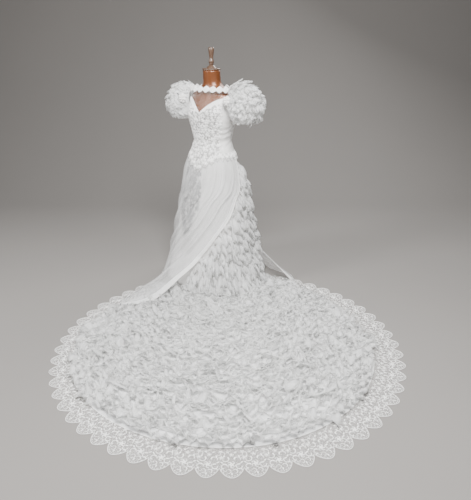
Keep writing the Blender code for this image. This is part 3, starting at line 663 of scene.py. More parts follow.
# Every finish: what makes it, and its settings
FINISHES = {
    "duchess_satin": (satin, {}),
    # The bodice front's satin, darkened as painted shade between the lace flowers.
    "satin_under_lace": (satin, {"share": 0.42}),
    # The skirt's satin, darkened as painted shade under the overskirt.
    "satin_under_organza": (satin, {"share": 0.80}),
    "organza_sheer": (
        sheer,
        {"low": 0.02, "high": 0.34, "body": 0.80, "start": 0.988, "side": 0.016, "folds": 34.0},
    ),
    "organza_train": (sheer, {"low": 0.86, "high": 0.97}),
    "organza_ruffle": (sheer, {"low": 0.26, "high": 0.54, "body": 0.98, "glow": 0.85}),
    # The skirt's and sleeves' tiers: a darker copy of the train's ruffle organza, painted shade.
    "organza_tier": (sheer, {"low": 0.26, "high": 0.56, "body": 0.88, "glow": 0.85}),
    "organza_sleeve": (sheer, {"low": 0.55, "high": 0.80}),
    "lace_thread": (thread, {}),
    # A darker copy of the thread for the lace leaves: painted shade.
    "shaded_thread": (thread, {"share": 0.70}),
    # A darker copy of the thread for the basque band's net: painted shade between its flowers.
    "band_thread": (thread, {"share": 0.5}),
    "beige_thread": (thread, {"share": 0.12}),
    "yoke_net": (net, {"pitch": 0.0030, "veil": 0.0, "thick": 0.007}),
    "lace_net": (net, {"pitch": 0.0040, "veil": 0.04, "thick": 0.022}),
    "pearl_bead": (pearl, {}),
    "copper_satin": (copper, {}),
    "varnished_wood": (wood, {}),
    "painted_steel": (steel, {}),
    "pale_floor": (backdrop, {}),
}


def finish_named(name):
    """A finish, made when it is first asked for. The frame's own materials have other names."""
    make, settings = FINISHES[name]
    return bpy.data.materials.get(name) or make(name, **settings)


# Making pieces

# Radii of the cords along seams and edges. The train's lace has one that a user may change.
CORDS = {
    "neckline": 0.0016,
    "seam": 0.0010,
    "armhole": 0.0014,
    "collar": 0.0009,
    "basque": 0.0010,
    "cuff": 0.0022,
}


@contextmanager
def edit_mode():
    """Edit mode with the whole mesh selected, and back to object mode at the end."""
    bpy.ops.object.mode_set(mode="EDIT")
    bpy.ops.mesh.select_all(action="SELECT")
    yield
    bpy.ops.object.mode_set(mode="OBJECT")


def only(piece):
    """Makes a piece the only selected one, and the active one."""
    bpy.ops.object.select_all(action="DESELECT")
    piece.select_set(True)
    bpy.context.view_layer.objects.active = piece


def own(piece, finish, nodes=()):
    """Gives a piece its finish and its place in the frame."""
    piece.data.materials.clear()
    piece.data.materials.append(finish_named(finish))
    piece.data.shade_smooth()
    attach(piece, "root")
    if nodes:
        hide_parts(*nodes)
    return piece


def new_piece(name, shape):
    """A piece for a mesh or a curve."""
    piece = bpy.data.objects.new(name, shape)
    bpy.context.scene.collection.objects.link(piece)
    return piece


def stand_on_pole(points):
    """From the pole at the origin to where the frame has the pole."""
    return np.asarray(points, float) + POLE


def cloth_mesh(name, grids, closed=False, capped=False):
    """A mesh of one or more grids of points, with a UV map in metres of cloth."""
    points, faces, chart, shares, start = [], [], [], [], 0
    for grid in grids:
        rows, columns = grid.shape[:2]
        round_grid = np.concatenate([grid, grid[:, :1]], axis=1) if closed else grid
        row, column = np.meshgrid(np.arange(rows - 1), np.arange(round_grid.shape[1] - 1), indexing="ij")
        near = start + row * columns + column
        far = start + row * columns + (column + 1) % columns
        faces += np.stack([near, near + columns, far + columns, far], axis=-1).reshape(-1, 4).tolist()
        along = np.linalg.norm(np.diff(round_grid, axis=1), axis=-1).mean(axis=0)
        down = np.linalg.norm(np.diff(round_grid, axis=0), axis=-1).mean(axis=1)
        u = np.concatenate([[0], np.cumsum(along)])
        v = -np.concatenate([[0], np.cumsum(down)])
        corners = [(row, column), (row + 1, column), (row + 1, column + 1), (row, column + 1)]
        chart.append(np.stack([np.stack([u[c], v[r]], axis=-1) for r, c in corners], axis=2).reshape(-1))
        part = [np.stack([c / (len(u) - 1), r / (rows - 1)], axis=-1) for r, c in corners]
        shares.append(np.stack(part, axis=2).reshape(-1))
        points.append(grid.reshape(-1, 3))
        start += rows * columns
    if capped:
        faces += [list(range(columns))[::-1], list(range(start - columns, start))]
        chart.append(np.zeros(4 * columns))
        shares.append(np.zeros(4 * columns))
    mesh = bpy.data.meshes.new(name)
    mesh.from_pydata(stand_on_pole(np.concatenate(points)).tolist(), [], faces)
    mesh.uv_layers.new(name="Cloth").data.foreach_set("uv", np.concatenate(chart))
    mesh.uv_layers.new(name="Share").data.foreach_set("uv", np.concatenate(shares))
    return mesh


def cloth(name, grids, thick, finish, slot, nodes=(), closed=False, outside=None):
    """A piece of cloth of one or more grids, of even thickness. Outside is a point that the
    cloth's right side faces away from."""
    if outside is not None:
        grid = grids[0]
        across = np.gradient(grid, axis=1)
        facing = np.cross(np.gradient(grid, axis=0), across)
        if ((grid - outside) * facing).sum() < 0:
            grids = [grid[:, ::-1] for grid in grids]
    piece = new_piece(name, cloth_mesh(name, grids, closed))
    only(piece)
    wall = piece.modifiers.new("wall", "SOLIDIFY")
    wall.thickness = thick
    wall.offset = -1.0
    bpy.ops.object.modifier_apply(modifier=wall.name)
    return own(piece, finish, nodes)


def cut(piece, grids, closed=False, flat=None):
    """Works out a sheet's flat size from its grid, and gives the piece back unchanged; the size is
    not kept. Several strips are cut from one length of cloth, as long as they are on average and
    as wide as their area needs."""
    area = 0.0
    for grid in grids:
        grid = np.concatenate([grid, grid[:, :1]], axis=1) if closed else grid
        sides = np.cross(grid[1:, 1:] - grid[:-1, :-1], grid[1:, :-1] - grid[:-1, 1:])
        area += float(np.linalg.norm(sides, axis=-1).sum() / 2)
    if flat is None:
        length = sum(max(length_of(line) for line in grid) for grid in grids) / len(grids)
        width = max(length_of(grid[:, k]) for k in range(0, grid.shape[1], 3))
        flat = (max(width if len(grids) == 1 else area / length, 0.0101), length)
    area = min(area, 0.999 * flat[0] * flat[1])
    return piece


def on_surface(surface, u, v, turn, size, lift=0.0):
    """Places and axes for small models that lie on a surface: turned in it, and lifted."""
    u, v, turn, size, lift = np.broadcast_arrays(u, v, turn, size, lift)
    here = surface(u, v)
    along = surface(u + 0.003, v) - surface(u - 0.003, v)
    down = surface(u, v - 0.001) - surface(u, v + 0.001)
    out = unit(np.cross(down, along))
    x = unit(along)
    y = np.cross(out, x)
    turn, size, lift = turn[..., None], size[..., None], lift[..., None]
    ahead = np.cos(turn) * x + np.sin(turn) * y
    left = np.cos(turn) * y - np.sin(turn) * x
    axes = np.stack([ahead, left, out], axis=-2)
    return here + out * lift, axes * size[..., None]


def copies(name, model, spots, finish, slot):
    """Copies of a small model at many places, as one piece. The model is used up."""
    places = np.concatenate([place for place, axes in spots])
    axes = np.concatenate([axes for place, axes in spots])
    corners = np.array([corner.co for corner in model.data.vertices])
    points = np.einsum("vk,nkj->nvj", corners, axes) + places[:, None]
    faces = [list(face.vertices) for face in model.data.polygons]
    starts = range(0, len(points) * len(corners), len(corners))
    all_faces = [[start + corner for corner in face] for start in starts for face in faces]
    mesh = bpy.data.meshes.new(name)
    mesh.from_pydata(stand_on_pole(points.reshape(-1, 3)).tolist(), [], all_faces)
    bpy.data.objects.remove(model)
    return own(new_piece(name, mesh), finish)


def ball(flat=1.0, wide=1.0, shift=0.0, pointed=False, rings=3, segments=6):
    """A small model from a sphere of radius 1, squashed, and moved along X."""
    bpy.ops.object.select_all(action="DESELECT")
    turn = (0.0, math.pi / 2, 0.0) if pointed else (0.0, 0.0, 0.0)
    bpy.ops.mesh.primitive_uv_sphere_add(segments=segments, ring_count=rings, radius=1.0, rotation=turn)
    model = bpy.context.active_object
    bpy.ops.object.transform_apply(rotation=True)
    with edit_mode():
        bpy.ops.transform.resize(value=(1.0, wide, flat), center_override=(0, 0, 0))
        bpy.ops.transform.translate(value=(shift, 0.0, 0.0))
    return model


def bead_model():
    """A round bead of radius 1."""
    bpy.ops.object.select_all(action="DESELECT")
    bpy.ops.mesh.primitive_ico_sphere_add(subdivisions=1, radius=1.0)
    return bpy.context.active_object


def scroll_model(thick, sweep):
    """A curl of cord: a small ring spun about a point beside it, of radius 1."""
    bpy.ops.object.select_all(action="DESELECT")
    upright = (math.pi / 2, 0, 0)
    bpy.ops.mesh.primitive_circle_add(
        vertices=5, radius=thick, location=(1, 0, 0), rotation=upright, fill_type="NGON"
    )
    model = bpy.context.active_object
    bpy.ops.object.transform_apply(location=True, rotation=True)
    with edit_mode():
        bpy.ops.mesh.spin(steps=7, angle=sweep, center=(0, 0, 0), axis=(0, 0, 1))
        bpy.ops.mesh.select_all(action="SELECT")
        bpy.ops.mesh.normals_make_consistent(inside=False)
    return model


def piping(name, lines, radius, finish, slot, cyclic=False):
    """Round cords along lines of points, as one piece."""
    curve = bpy.data.curves.new(name, "CURVE")
    curve.dimensions = "3D"
    curve.bevel_depth = radius
    curve.bevel_resolution = 1
    curve.use_fill_caps = not cyclic
    for line in lines:
        spline = curve.splines.new("POLY")
        spline.points.add(len(line) - 1)
        flat = np.column_stack([stand_on_pole(line), np.ones(len(line))])
        spline.points.foreach_set("co", flat.reshape(-1))
        spline.use_cyclic_u = cyclic
    only(new_piece(name, curve))
    bpy.ops.object.convert(target="MESH")
    return own(bpy.context.active_object, finish)


WAVE_STEPS = 8  # steps of a gathered strip's grid for each of its waves


def gathered(root, fall, out, wave, curl, seed, uneven, rows=5):
    """A grid for a gathered strip. The root line is sewn down, and the free edge lies at the
    root plus fall and waves to both sides of the strip, with loops as wide as curl times its
    pitch. Out is the side that it bellies to."""
    count = len(root)
    at = np.arange(count) / WAVE_STEPS
    phase = 2 * math.pi * (at + 0.22 * ripple(at / 3.1, 0.0, seed))
    swing = np.sin(phase) * (1 + 0.35 * ripple(at / 2.3, 1.0, seed + 1))
    along = np.gradient(root, axis=0)
    pitch = np.linalg.norm(along, axis=1, keepdims=True) * WAVE_STEPS
    side = unit(np.cross(along, fall))
    side = side * np.sign((side * out).sum(axis=-1, keepdims=True) + 1e-9)
    loop = (np.sin(2 * phase + 0.6 * ripple(at / 4.1, 2.0, seed + 2)) * curl)[:, None] * pitch * unit(along)
    tall = (1 + uneven * ripple(at / 1.3, 3.0, seed + 3))[:, None]
    lines = []
    for t in np.linspace(0, 1, rows):
        droop = math.sin(math.pi * t) * 0.18
        middle = root + fall * t * tall + side * droop * np.linalg.norm(fall, axis=-1, keepdims=True)
        lines.append(middle + side * (wave * swing * t**0.8)[:, None] + loop * t**1.5)
    return np.array(lines)


def frill(name, node, grids, finish):
    """One group of ruffles: gathered strips of organza, as one piece."""
    thick = bpy.context.scene.dress_sizes.organza
    cut(cloth(name, grids, thick, finish, "organza", [node]), grids)


def runs_of(wanted, shortest):
    """First and last number of each run of true values that is long enough."""
    found, start = [], None
    for k, good in enumerate([*wanted, False]):
        if good and start is None:
            start = k
        if not good and start is not None:
            if k - start >= shortest:
                found.append((start, k - 1))
            start = None
    return found


def blossom(surface, u, v, size, turn):
    """Places for the petals and centres of flowers that lie on a surface."""
    petals, centres = [], []
    for k in range(5):
        petals.append(on_surface(surface, u, v, turn + k * 2 * math.pi / 5, size, 0.0012))
        petals.append(on_surface(surface, u, v, turn + (k + 0.5) * 2 * math.pi / 5, size * 0.55, 0.0026))
    centres.append(on_surface(surface, u, v, turn, size * 0.17, 0.0034))
    return petals, centres


# What a user would change


def length(name, description, default):
    return FloatProperty(name=name, description=description, default=default, unit="LENGTH", precision=4)


def colour(name, description, default):
    return FloatVectorProperty(
        name=name, description=description, default=default, subtype="COLOR", min=0, max=1
    )


class DressSizes(bpy.types.PropertyGroup):
    """Sizes of cloth and trimmings"""

    satin: length("Satin", "Thickness of bodice and skirt", 0.0014)
    organza: length("Organza", "Thickness of overskirt, ruffles and net", 0.0007)
    ruffle: length("Train ruffle", "Height of a ruffle of the train", 0.027)
    ruffle_lean: length("Ruffle lean", "How far a train ruffle leans outwards", 0.022)
    ruffle_wave: length("Ruffle wave", "How far a train ruffle waves to each side", 0.019)
    ruffle_pitch: length("Ruffle pitch", "From one wave of a train ruffle to the next", 0.044)
    cascade_pitch: length("Cascade pitch", "From one wave of a skirt ruffle to the next", 0.027)
    sleeve_pitch: length("Sleeve pitch", "From one wave of a sleeve ruffle to the next", 0.022)
    blossom: length("Lace flower", "Radius of a flower of the bodice lace", 0.0085)
    bead: length("Bead", "Radius of a pearl bead", 0.0016)
    cord: length("Cord", "Radius of the cord along the lace edges", 0.0013)


class DressColours(bpy.types.PropertyGroup):
    """Colours of cloth, form and floor"""

    satin: colour("Satin", "Bodice, skirt, bindings and rosettes", (0.80, 0.785, 0.765))
    organza: colour("Organza", "Overskirt, sleeves and ruffles", (0.95, 0.95, 0.95))
    lace: colour("Lace", "Net, embroidery and cords", (0.95, 0.94, 0.92))
    copper: colour("Form cover", "Cover of the dress form", (0.15, 0.048, 0.015))
    wood: colour("Wood", "Neck cap and finial", (0.085, 0.048, 0.030))
    steel: colour("Steel", "Pole and foot", (0.10, 0.10, 0.11))
    floor: colour("Floor", "Floor and backdrop", (0.20, 0.188, 0.176))


# The form


def face_out(piece):
    """Turns all faces of a closed piece outwards."""
    only(piece)
    with edit_mode():
        bpy.ops.mesh.normals_make_consistent(inside=False)


def turned(name, profile, centre, sides, finish, node):
    """A turned piece: a disc drawn up through rows of radius and height."""
    x, y, _ = stand_on_pole(centre)
    radius, height = profile[0]
    bpy.ops.object.select_all(action="DESELECT")
    place = (x, y, height)
    bpy.ops.mesh.primitive_circle_add(vertices=sides, radius=radius, location=place, fill_type="NGON")
    piece = bpy.context.active_object
    piece.name = name
    bpy.ops.object.transform_apply(location=True)
    with edit_mode():
        for (near, low), (far, high) in zip(profile, profile[1:]):
            bpy.ops.mesh.extrude_region_move(TRANSFORM_OT_translate={"value": (0, 0, high - low)})
            bpy.ops.transform.resize(value=(far / near, far / near, 1), center_override=(x, y, high))
    face_out(piece)
    return own(piece, finish, [node])


class DRESS_OT_form(bpy.types.Operator):
    """Cover the torso, turn the neck cap and the finial, and paint pole and foot"""

    bl_idname = "dress.form"
    bl_label = "Dress form"

    def execute(self, context):
        angles = np.arange(72) * 2 * math.pi / 72
        angle, height = np.meshgrid(angles, np.linspace(NECK_TOP - 0.012, FORM_BOTTOM, 70))
        groove = sum(bell(wrap(angle - seam) / 0.03) for seam in (0.0, math.pi, *ALL_SEAMS))
        grid = figure_point(angle, height, -0.0012 * groove, FORM_BUST)
        mesh = cloth_mesh("form_cover", [grid], closed=True, capped=True)
        torso = new_piece("form_cover", mesh)
        face_out(torso)
        own(torso, "copper_satin", ["form_torso"])
        neck = 0.002 * FRONT
        foot = NECK_TOP - 0.012 + SEAM
        cap = [(0.0560, foot), (0.0590, foot + 0.003), (0.0592, NECK_TOP - 0.004), (0.0575, NECK_TOP)]
        cap += [(0.0340, NECK_TOP + 0.002), (0.0300, NECK_TOP + 0.004), (0.0290, NECK_TOP + 0.008)]
        cap += [(0.0240, NECK_TOP + 0.012), (0.0150, NECK_TOP + 0.018), (0.0140, NECK_TOP + 0.020)]
        turned("neck_cap", cap, neck, 48, "varnished_wood", "form_neck_cap")
        foot = NECK_TOP + 0.020 + SEAM
        rows = ((0, 13), (6, 15), (9, 13.2), (12, 16), (20, 17.5), (28, 15.6), (34, 13.4), (40, 12.2))
        rows += ((48, 12.5), (58, 14.4), (68, 16), (76, 17), (88, 18), (100, 18.4), (104.7, 15))
        finial = [(radius / 1000, foot + rise / 1000) for rise, radius in rows]
        turned("finial", finial, neck, 32, "varnished_wood", "form_finial")
        for node in ("form_pole", "form_base"):
            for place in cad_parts[node].material_slots:
                place.material = finish_named("painted_steel")
        return {"FINISHED"}


# The bodice and its lace

PANELS = {
    "bodice_front": (-SEAMS[0], SEAMS[0]),
    "bodice_side_left": SEAMS,
    "bodice_side_right": (-SEAMS[1], -SEAMS[0]),
    "bodice_back": (SEAMS[1] - 2 * math.pi, -SEAMS[1]),
}


def creases(angle, height):
    """Creases of the satin: pulls across the sides of the waist, small waves, and seams."""
    side = bell((abs(wrap(angle)) - math.radians(84)) / math.radians(30))
    drift = 1.2 * ripple(angle * 2, height * 9, 11)
    lines = 2 * math.pi * (height * 26 + 0.45 * np.sin(2.2 * angle)) + drift
    pulls = np.sin(lines) * bell((height - 1.02) / 0.07)
    sewn = sum(bell(wrap(angle - turn) / 0.02) for turn in ALL_SEAMS)
    return 0.0032 * side * pulls + 0.0004 * ripple(angle * 6, height * 26, 12) - 0.0007 * sewn


class DRESS_OT_bodice(bpy.types.Operator):
    """Sew the satin bodice from its front, sides and back, with corded seams and neckline"""

    bl_idname = "dress.bodice"
    bl_label = "Satin bodice"

    def execute(self, context):
        sizes = context.scene.dress_sizes

        def surface(angle, height):
            return bodice_point(angle, height, creases(angle, height))

        gap = SEAM / 2 / 0.15
        for node, (first, last) in PANELS.items():
            columns = int(40 * (last - first))
            grid = grid_of(surface, first + gap, last - gap, neckline, basque, columns, 64)
            name = node.replace("bodice", "satin")
            # The front panel's satin is a darker copy: painted shade between the lace flowers.
            finish = "satin_under_lace" if node == "bodice_front" else "duchess_satin"
            piece = cloth(name, [grid], sizes.satin, finish, "white_satin", [node], outside=UP)
            cut(piece, [grid])
        angle = np.linspace(0, 2 * math.pi, 181)[:-1]
        edge = [bodice_point(angle, neckline(angle), 0.0004)]
        piping("neckline_cord", edge, CORDS["neckline"], "duchess_satin", "white_satin", cyclic=True)
        seams = []
        for turn in ALL_SEAMS:
            turn = np.array(turn)
            height = np.linspace(neckline(turn) - 0.002, basque(turn) + 0.002, 60)
            seams.append(bodice_point(turn, height, -0.0003))
        piping("seam_cords", seams, CORDS["seam"], "duchess_satin", "white_satin")
        return {"FINISHED"}


STRAY = 0.28  # how far a place of the lace strays, as a share of the gap


def strewn(first, last, bottom, top, gap, radius, seed):
    """Places strewn evenly over a surface of a radius: angles, and heights between two curves.
    Every other row is shifted by half a gap, and each place strays a little."""
    draw = np.random.default_rng(seed)
    low, high = bottom(np.linspace(first, last, 50)).min(), top(np.linspace(first, last, 50)).max()
    angle, height = np.meshgrid(np.arange(first, last, gap / radius), np.arange(low, high, gap * 0.87))
    every_other = np.arange(len(angle))[:, None] % 2 * 0.5
    angle = angle + (every_other + draw.uniform(-STRAY, STRAY, angle.shape)) * gap / radius
    height = height + draw.uniform(-STRAY, STRAY, angle.shape) * gap
    good = (height > bottom(angle)) & (height < top(angle)) & (angle > first) & (angle < last)
    return angle[good], height[good]


def all_strewn(first, last, bottom, top, gaps, radius, seed):
    """Places for the flowers, the leaves and the beads of a piece of lace."""
    draws = range(seed, seed + len(gaps))
    return [strewn(first, last, bottom, top, gap, radius, draw) for gap, draw in zip(gaps, draws)]


def lace_trim(prefix, surface, flowers, leaves, beads, seed, size, bead, dark=None):
    """Flowers, leaves and beads sewn to a surface: three pieces. A dark thread is for both."""
    draw = np.random.default_rng(seed)
    sizes = size * draw.uniform(0.7, 1.5, len(flowers[0]))
    petals, centres = blossom(surface, *flowers, sizes, draw.uniform(0, 6.3, len(flowers[0])))
    long = size * draw.uniform(0.5, 1.1, len(leaves[0]))
    sprigs = on_surface(surface, *leaves, draw.uniform(0, 6.3, len(leaves[0])), long, 0.0009)
    dots = on_surface(surface, *beads, 0.0, bead, bead * 0.7)
    # Leaves take a darker copy of the thread, painted shade, unless a dark thread is given.
    finish, shaded = dark or "lace_thread", dark or "shaded_thread"
    return [
        copies(prefix + "_flowers", ball(0.14, 0.36, 0.62), petals, finish, "lace"),
        copies(prefix + "_leaves", ball(0.22, 0.28, 0.0, pointed=True), [sprigs], shaded, "lace"),
        copies(prefix + "_beads", bead_model(), [*centres, dots], "pearl_bead", "lace"),
    ]


# From one flower, leaf or bead of the lace to the next, and how round the bodice is there
BODICE_LACE_GAPS = (0.0225, 0.0108, 0.0105)
BODICE_RADIUS = 0.145
NECKLINE_PETAL = 0.0085
NECKLINE_LOBE = 0.018


class DRESS_OT_bodice_lace(bpy.types.Operator):
    """Sew beaded lace flowers over the front of the bodice and along the neckline"""

    bl_idname = "dress.bodice_lace"
    bl_label = "Bodice lace"

    def execute(self, context):
        sizes = context.scene.dress_sizes
        reach = SEAMS[0] + 0.10

        def top(angle):
            return neckline(angle) - 0.004

        def bottom(angle):
            return basque(angle) + 0.006

        spots = all_strewn(-reach, reach, bottom, top, BODICE_LACE_GAPS, BODICE_RADIUS, 21)
        lace_trim("bodice_lace", bodice_point, *spots, 24, sizes.blossom, sizes.bead)
        angle = np.radians(np.arange(-76, 77, 3.1))
        lobe = NECKLINE_LOBE * np.sin(math.pi * np.minimum(1, abs(angle) / 1.15)) ** 0.7
        edge = []
        for row in range(3):
            height = neckline(angle) + lobe * row / 2
            edge.append(on_surface(bodice_point, angle, height, math.pi / 2, NECKLINE_PETAL, 0.001))
        copies("neckline_petals", ball(0.22, 0.75, 0.0), edge, "lace_thread", "lace")
        return {"FINISHED"}


# The yoke and the collar


class DRESS_OT_yoke(bpy.types.Operator):
    """Stretch the net yoke from the neckline to the collar"""

    bl_idname = "dress.yoke"
    bl_label = "Net yoke"

    def execute(self, context):
        for word, middle in (("front", 0.0), ("back", math.pi)):
            first, last = middle - YOKE_END, middle + YOKE_END
            low = lambda angle: neckline(angle) + YOKE_SEAM
            grid = grid_of(yoke_point, first, last, COLLAR_HEIGHT, low, 64, 22)
            thick = context.scene.dress_sizes.organza
            nodes = ["yoke_" + word]
            piece = cloth("net_yoke_" + word, [grid], thick, "yoke_net", "net", nodes, outside=UP)
            cut(piece, [grid])
            edges = [grid[:, 0], grid[:, -1]]
            piping(f"armhole_cord_{word}", edges, CORDS["armhole"], "duchess_satin", "white_satin")
        return {"FINISHED"}


class DRESS_OT_collar(bpy.types.Operator):
    """Lay the ring of lace diamonds round the top of the net"""

    bl_idname = "dress.collar"
    bl_label = "Lace collar"

    def execute(self, context):
        sizes = context.scene.dress_sizes
        across, up = np.meshgrid(np.arange(DIAMONDS * 14) / 14, np.linspace(1, -1, 11))
        angle = 2 * math.pi * across / DIAMONDS
        near = 1 - abs(2 * (across % 1) - 1)
        half = 0.005 + 0.0155 * near**0.8
        dome = 0.0034 + 0.003 * near * (1 - up**2)
        grid = yoke_point(angle, COLLAR_HEIGHT + up * half, dome)
        look = "lace_thread", "lace"
        piece = cloth("collar_ring", [grid], 0.0016, *look, ["collar_lace"], closed=True, outside=UP)

        def surface(angle, height):
            return yoke_point(angle, height, 0.0058)

        def spots(beside, above, *placing):
            middle = (np.arange(DIAMONDS) + 0.5) * 2 * math.pi / DIAMONDS
            return on_surface(surface, middle + beside, COLLAR_HEIGHT + above, *placing)

        corner = 0.5 * math.pi / DIAMONDS
        leaves = [spots(0.0, up, math.pi / 2, 0.0085, 0.001) for up in (0.009, -0.009)]
        leaves += [spots(beside, 0.0, 0.0, 0.0075) for beside in (0.06, -0.06)]
        beads = [spots(0.0, up, 0.0, sizes.bead, 0.0004) for up in (0.018, 0.0, -0.018)]
        for beside in (corner, -corner):
            beads += [spots(beside, up, 0.0, 0.0016) for up in (0.008, -0.008)]
        leaf = copies("collar_leaves", ball(0.25, 0.42, 0.0, pointed=True), leaves, *look)
        dots = copies("collar_beads", bead_model(), beads, "pearl_bead", "lace")
        rims = [grid[0], grid[-1]]
        cord = piping("collar_cords", rims, CORDS["collar"], "lace_thread", "lace", cyclic=True)
        cut(piece, [grid], closed=True)
        return {"FINISHED"}


# The band on the basque seam


def band_point(angle, share):
    """Points of the pointed band: share of the way down from its top to its tips."""
    tip = 1 - abs(2 * ((angle * BAND_POINTS / (2 * math.pi)) % 1) - 1)
    seam = basque(angle)
    top = seam + 0.012 + 0.004 * tip
    upper = figure_point(angle, top, ease(top) + SATIN + 0.0019)
    middle = skirt_point(angle, seam, 0.0064)
    lower = skirt_point(angle, seam - 0.008 - 0.022 * tip**0.8, 0.0065 + 0.004 * tip)
    share = np.asarray(share)[..., None]
    above = (1 - share) * (1 - 2 * share)
    below = share * (2 * share - 1)
    return above * upper + 4 * share * (1 - share) * middle + below * lower


class DRESS_OT_basque(bpy.types.Operator):
    """Sew the pointed, beaded lace band over the seam of bodice and skirt"""

    bl_idname = "dress.basque"
    bl_label = "Basque lace"

    def execute(self, context):
        sizes = context.scene.dress_sizes
        columns = BAND_POINTS * 8
        angle, share = np.meshgrid(np.arange(columns) * 2 * math.pi / columns, np.linspace(0, 1, 9))
        grid = band_point(angle, share)
        # The band is a darker copy of the lace thread: painted shade between its flowers.
        look = "band_thread", "lace"
        piece = cloth("basque_band", [grid], 0.0012, *look, ["basque_lace"], closed=True, outside=UP)

        def surface(angle, height):
            return band_point(angle, -height)

        tips = (np.arange(BAND_POINTS) + 0.5) * 2 * math.pi / BAND_POINTS
        both = np.concatenate([tips, tips + math.pi / BAND_POINTS])
        flowers = both, np.concatenate([np.full(BAND_POINTS, -0.62), np.full(BAND_POINTS, -0.30)])
        heights = -np.repeat((0.35, 0.35, 0.95, 0.15, 0.15), BAND_POINTS)
        leaves = np.concatenate([tips - 0.05, tips + 0.05, tips, both]), heights
        draw = np.random.default_rng(31)
        strewn_beads = draw.uniform(0, 2 * math.pi, BAND_BEADS), draw.uniform(-0.92, -0.05, BAND_BEADS)
        tip_beads = [np.concatenate(pair) for pair in zip(strewn_beads, (tips, np.full(BAND_POINTS, -1.0)))]
        trims = lace_trim("basque", surface, flowers, leaves, tip_beads, 33, BASQUE_FLOWER, sizes.bead)
        cord = piping("basque_cord", [grid[-1]], CORDS["basque"], "lace_thread", "lace", cyclic=True)
        cut(piece, [grid], closed=True)
        return {"FINISHED"}


# The skirt


# The lace on the skirt: from which angle to which, and its gaps as on the bodice
SKIRT_LACE = (math.radians(-42), math.radians(10))
SKIRT_LACE_GAPS = (0.033, 0.018, 0.028)
SKIRT_RADIUS = 0.20
SKIRT_FLOWER = 0.0125


class DRESS_OT_skirt(bpy.types.Operator):
    """Sew the satin skirt, and the lace that runs down its front"""

    bl_idname = "dress.skirt"
    bl_label = "Satin skirt"

    def execute(self, context):
        sizes = context.scene.dress_sizes

        def surface(angle, height):
            fall = np.maximum(0.0, 1 - height / BASQUE)
            soft = 0.0022 * np.sin(19 * angle + 1.5 * ripple(angle, height * 2, 41)) * fall**0.5
            return skirt_point(angle, height, np.minimum(soft, 0.0015))

        angle, share = np.meshgrid(np.arange(160) * 2 * math.pi / 160, np.linspace(0, 1, 40))
        grid = surface(angle, (basque(angle) - 0.0014) * (1 - share))
        # The skirt's satin is a darker copy: painted shade under the overskirt.
        look = "satin_under_organza", "white_satin"
        piece = cloth("satin_skirt", [grid], sizes.satin, *look, ["skirt"], closed=True, outside=0.5 * UP)
        cut(piece, [grid], closed=True)
        first, last = SKIRT_LACE

        def top(angle):
            return basque(angle) - 0.036

        def bottom(angle):
            return 0.30 + 0.25 * abs(wrap(angle + 0.28)) / 0.45

        spots = all_strewn(first, last, bottom, top, SKIRT_LACE_GAPS, SKIRT_RADIUS, 42)
        trim = *spots, 45, SKIRT_FLOWER, sizes.bead
        lace_trim("skirt_lace", skirt_point, *trim, dark="beige_thread")
        return {"FINISHED"}


# The overskirt


def overskirt_edge(edge, share):
    """The middle and outer line of the binding along the front (0) or back (1) edge."""
    here = overskirt_point(float(edge), share)
    inside = overskirt_point(abs(edge - 1 / 34), share, 0.0)
    away = unit(here - inside)
    return here + away * 2 * SEAM, here + away * (2 * SEAM + BINDING)


class DRESS_OT_overskirt(bpy.types.Operator):
    """Drape the open organza overskirt and bind its two edges with satin"""

    bl_idname = "dress.overskirt"
    bl_label = "Organza overskirt"

    def execute(self, context):
        sizes = context.scene.dress_sizes
        across, share = np.meshgrid(np.linspace(0, 1, 330), np.linspace(0, 1, 60))
        grid = overskirt_point(across, share)
        look = "organza_sheer", "organza"
        piece = cloth("organza_overskirt", [grid], sizes.organza, *look, ["overskirt"], outside=0.3 * UP)
        for word, edge in (("front", 0), ("back", 1)):
            near, far = overskirt_edge(edge, np.linspace(0, 1, 160))
            steps = np.linspace(0, 1, 7)[:, None, None]
            ribbon = near + (far - near) * steps
            middle = np.cross(unit(np.gradient(ribbon[3], axis=0)), unit(far - near))
            middle = middle * np.sign((middle * (ribbon[3] * [1, 1, 0])).sum(axis=-1, keepdims=True))
            ribbon = ribbon + 0.0016 * np.sin(math.pi * steps) * middle
            name = f"satin_binding_{word}"
            nodes = ["overskirt_binding_" + word]
            binding = cloth(name, [ribbon], 0.0016, "duchess_satin", "white_satin", nodes)
            cut(binding, [ribbon])
        cut(piece, [grid])
        return {"FINISHED"}


# The train


def train_nodes(prefix):
    return [prefix + gore for gore in GORES]


class DRESS_OT_train(bpy.types.Operator):
    """Lay the flat organza of the train on the floor"""

    bl_idname = "dress.train"
    bl_label = "Train"

    def execute(self, context):
        along, across = np.meshgrid(np.linspace(0, 1, 120), np.linspace(0, 1, 14))
        plan = train_seam(along) + (train_edge(along) - train_seam(along)) * across[..., None]
        grid = on_floor(plan, TRAIN_THICK + 0.0004 * ripple(plan[..., 0] * 9, plan[..., 1] * 9, 51))
        look = "organza_train", "organza"
        piece = cloth("train_cloth", [grid], ORGANZA, *look, train_nodes("train_"), outside=-UP)
        size = plan.reshape(-1, 2).max(axis=0) - plan.reshape(-1, 2).min(axis=0)
        cut(piece, [grid], flat=(float(size[0]), float(size[1])))
        return {"FINISHED"}


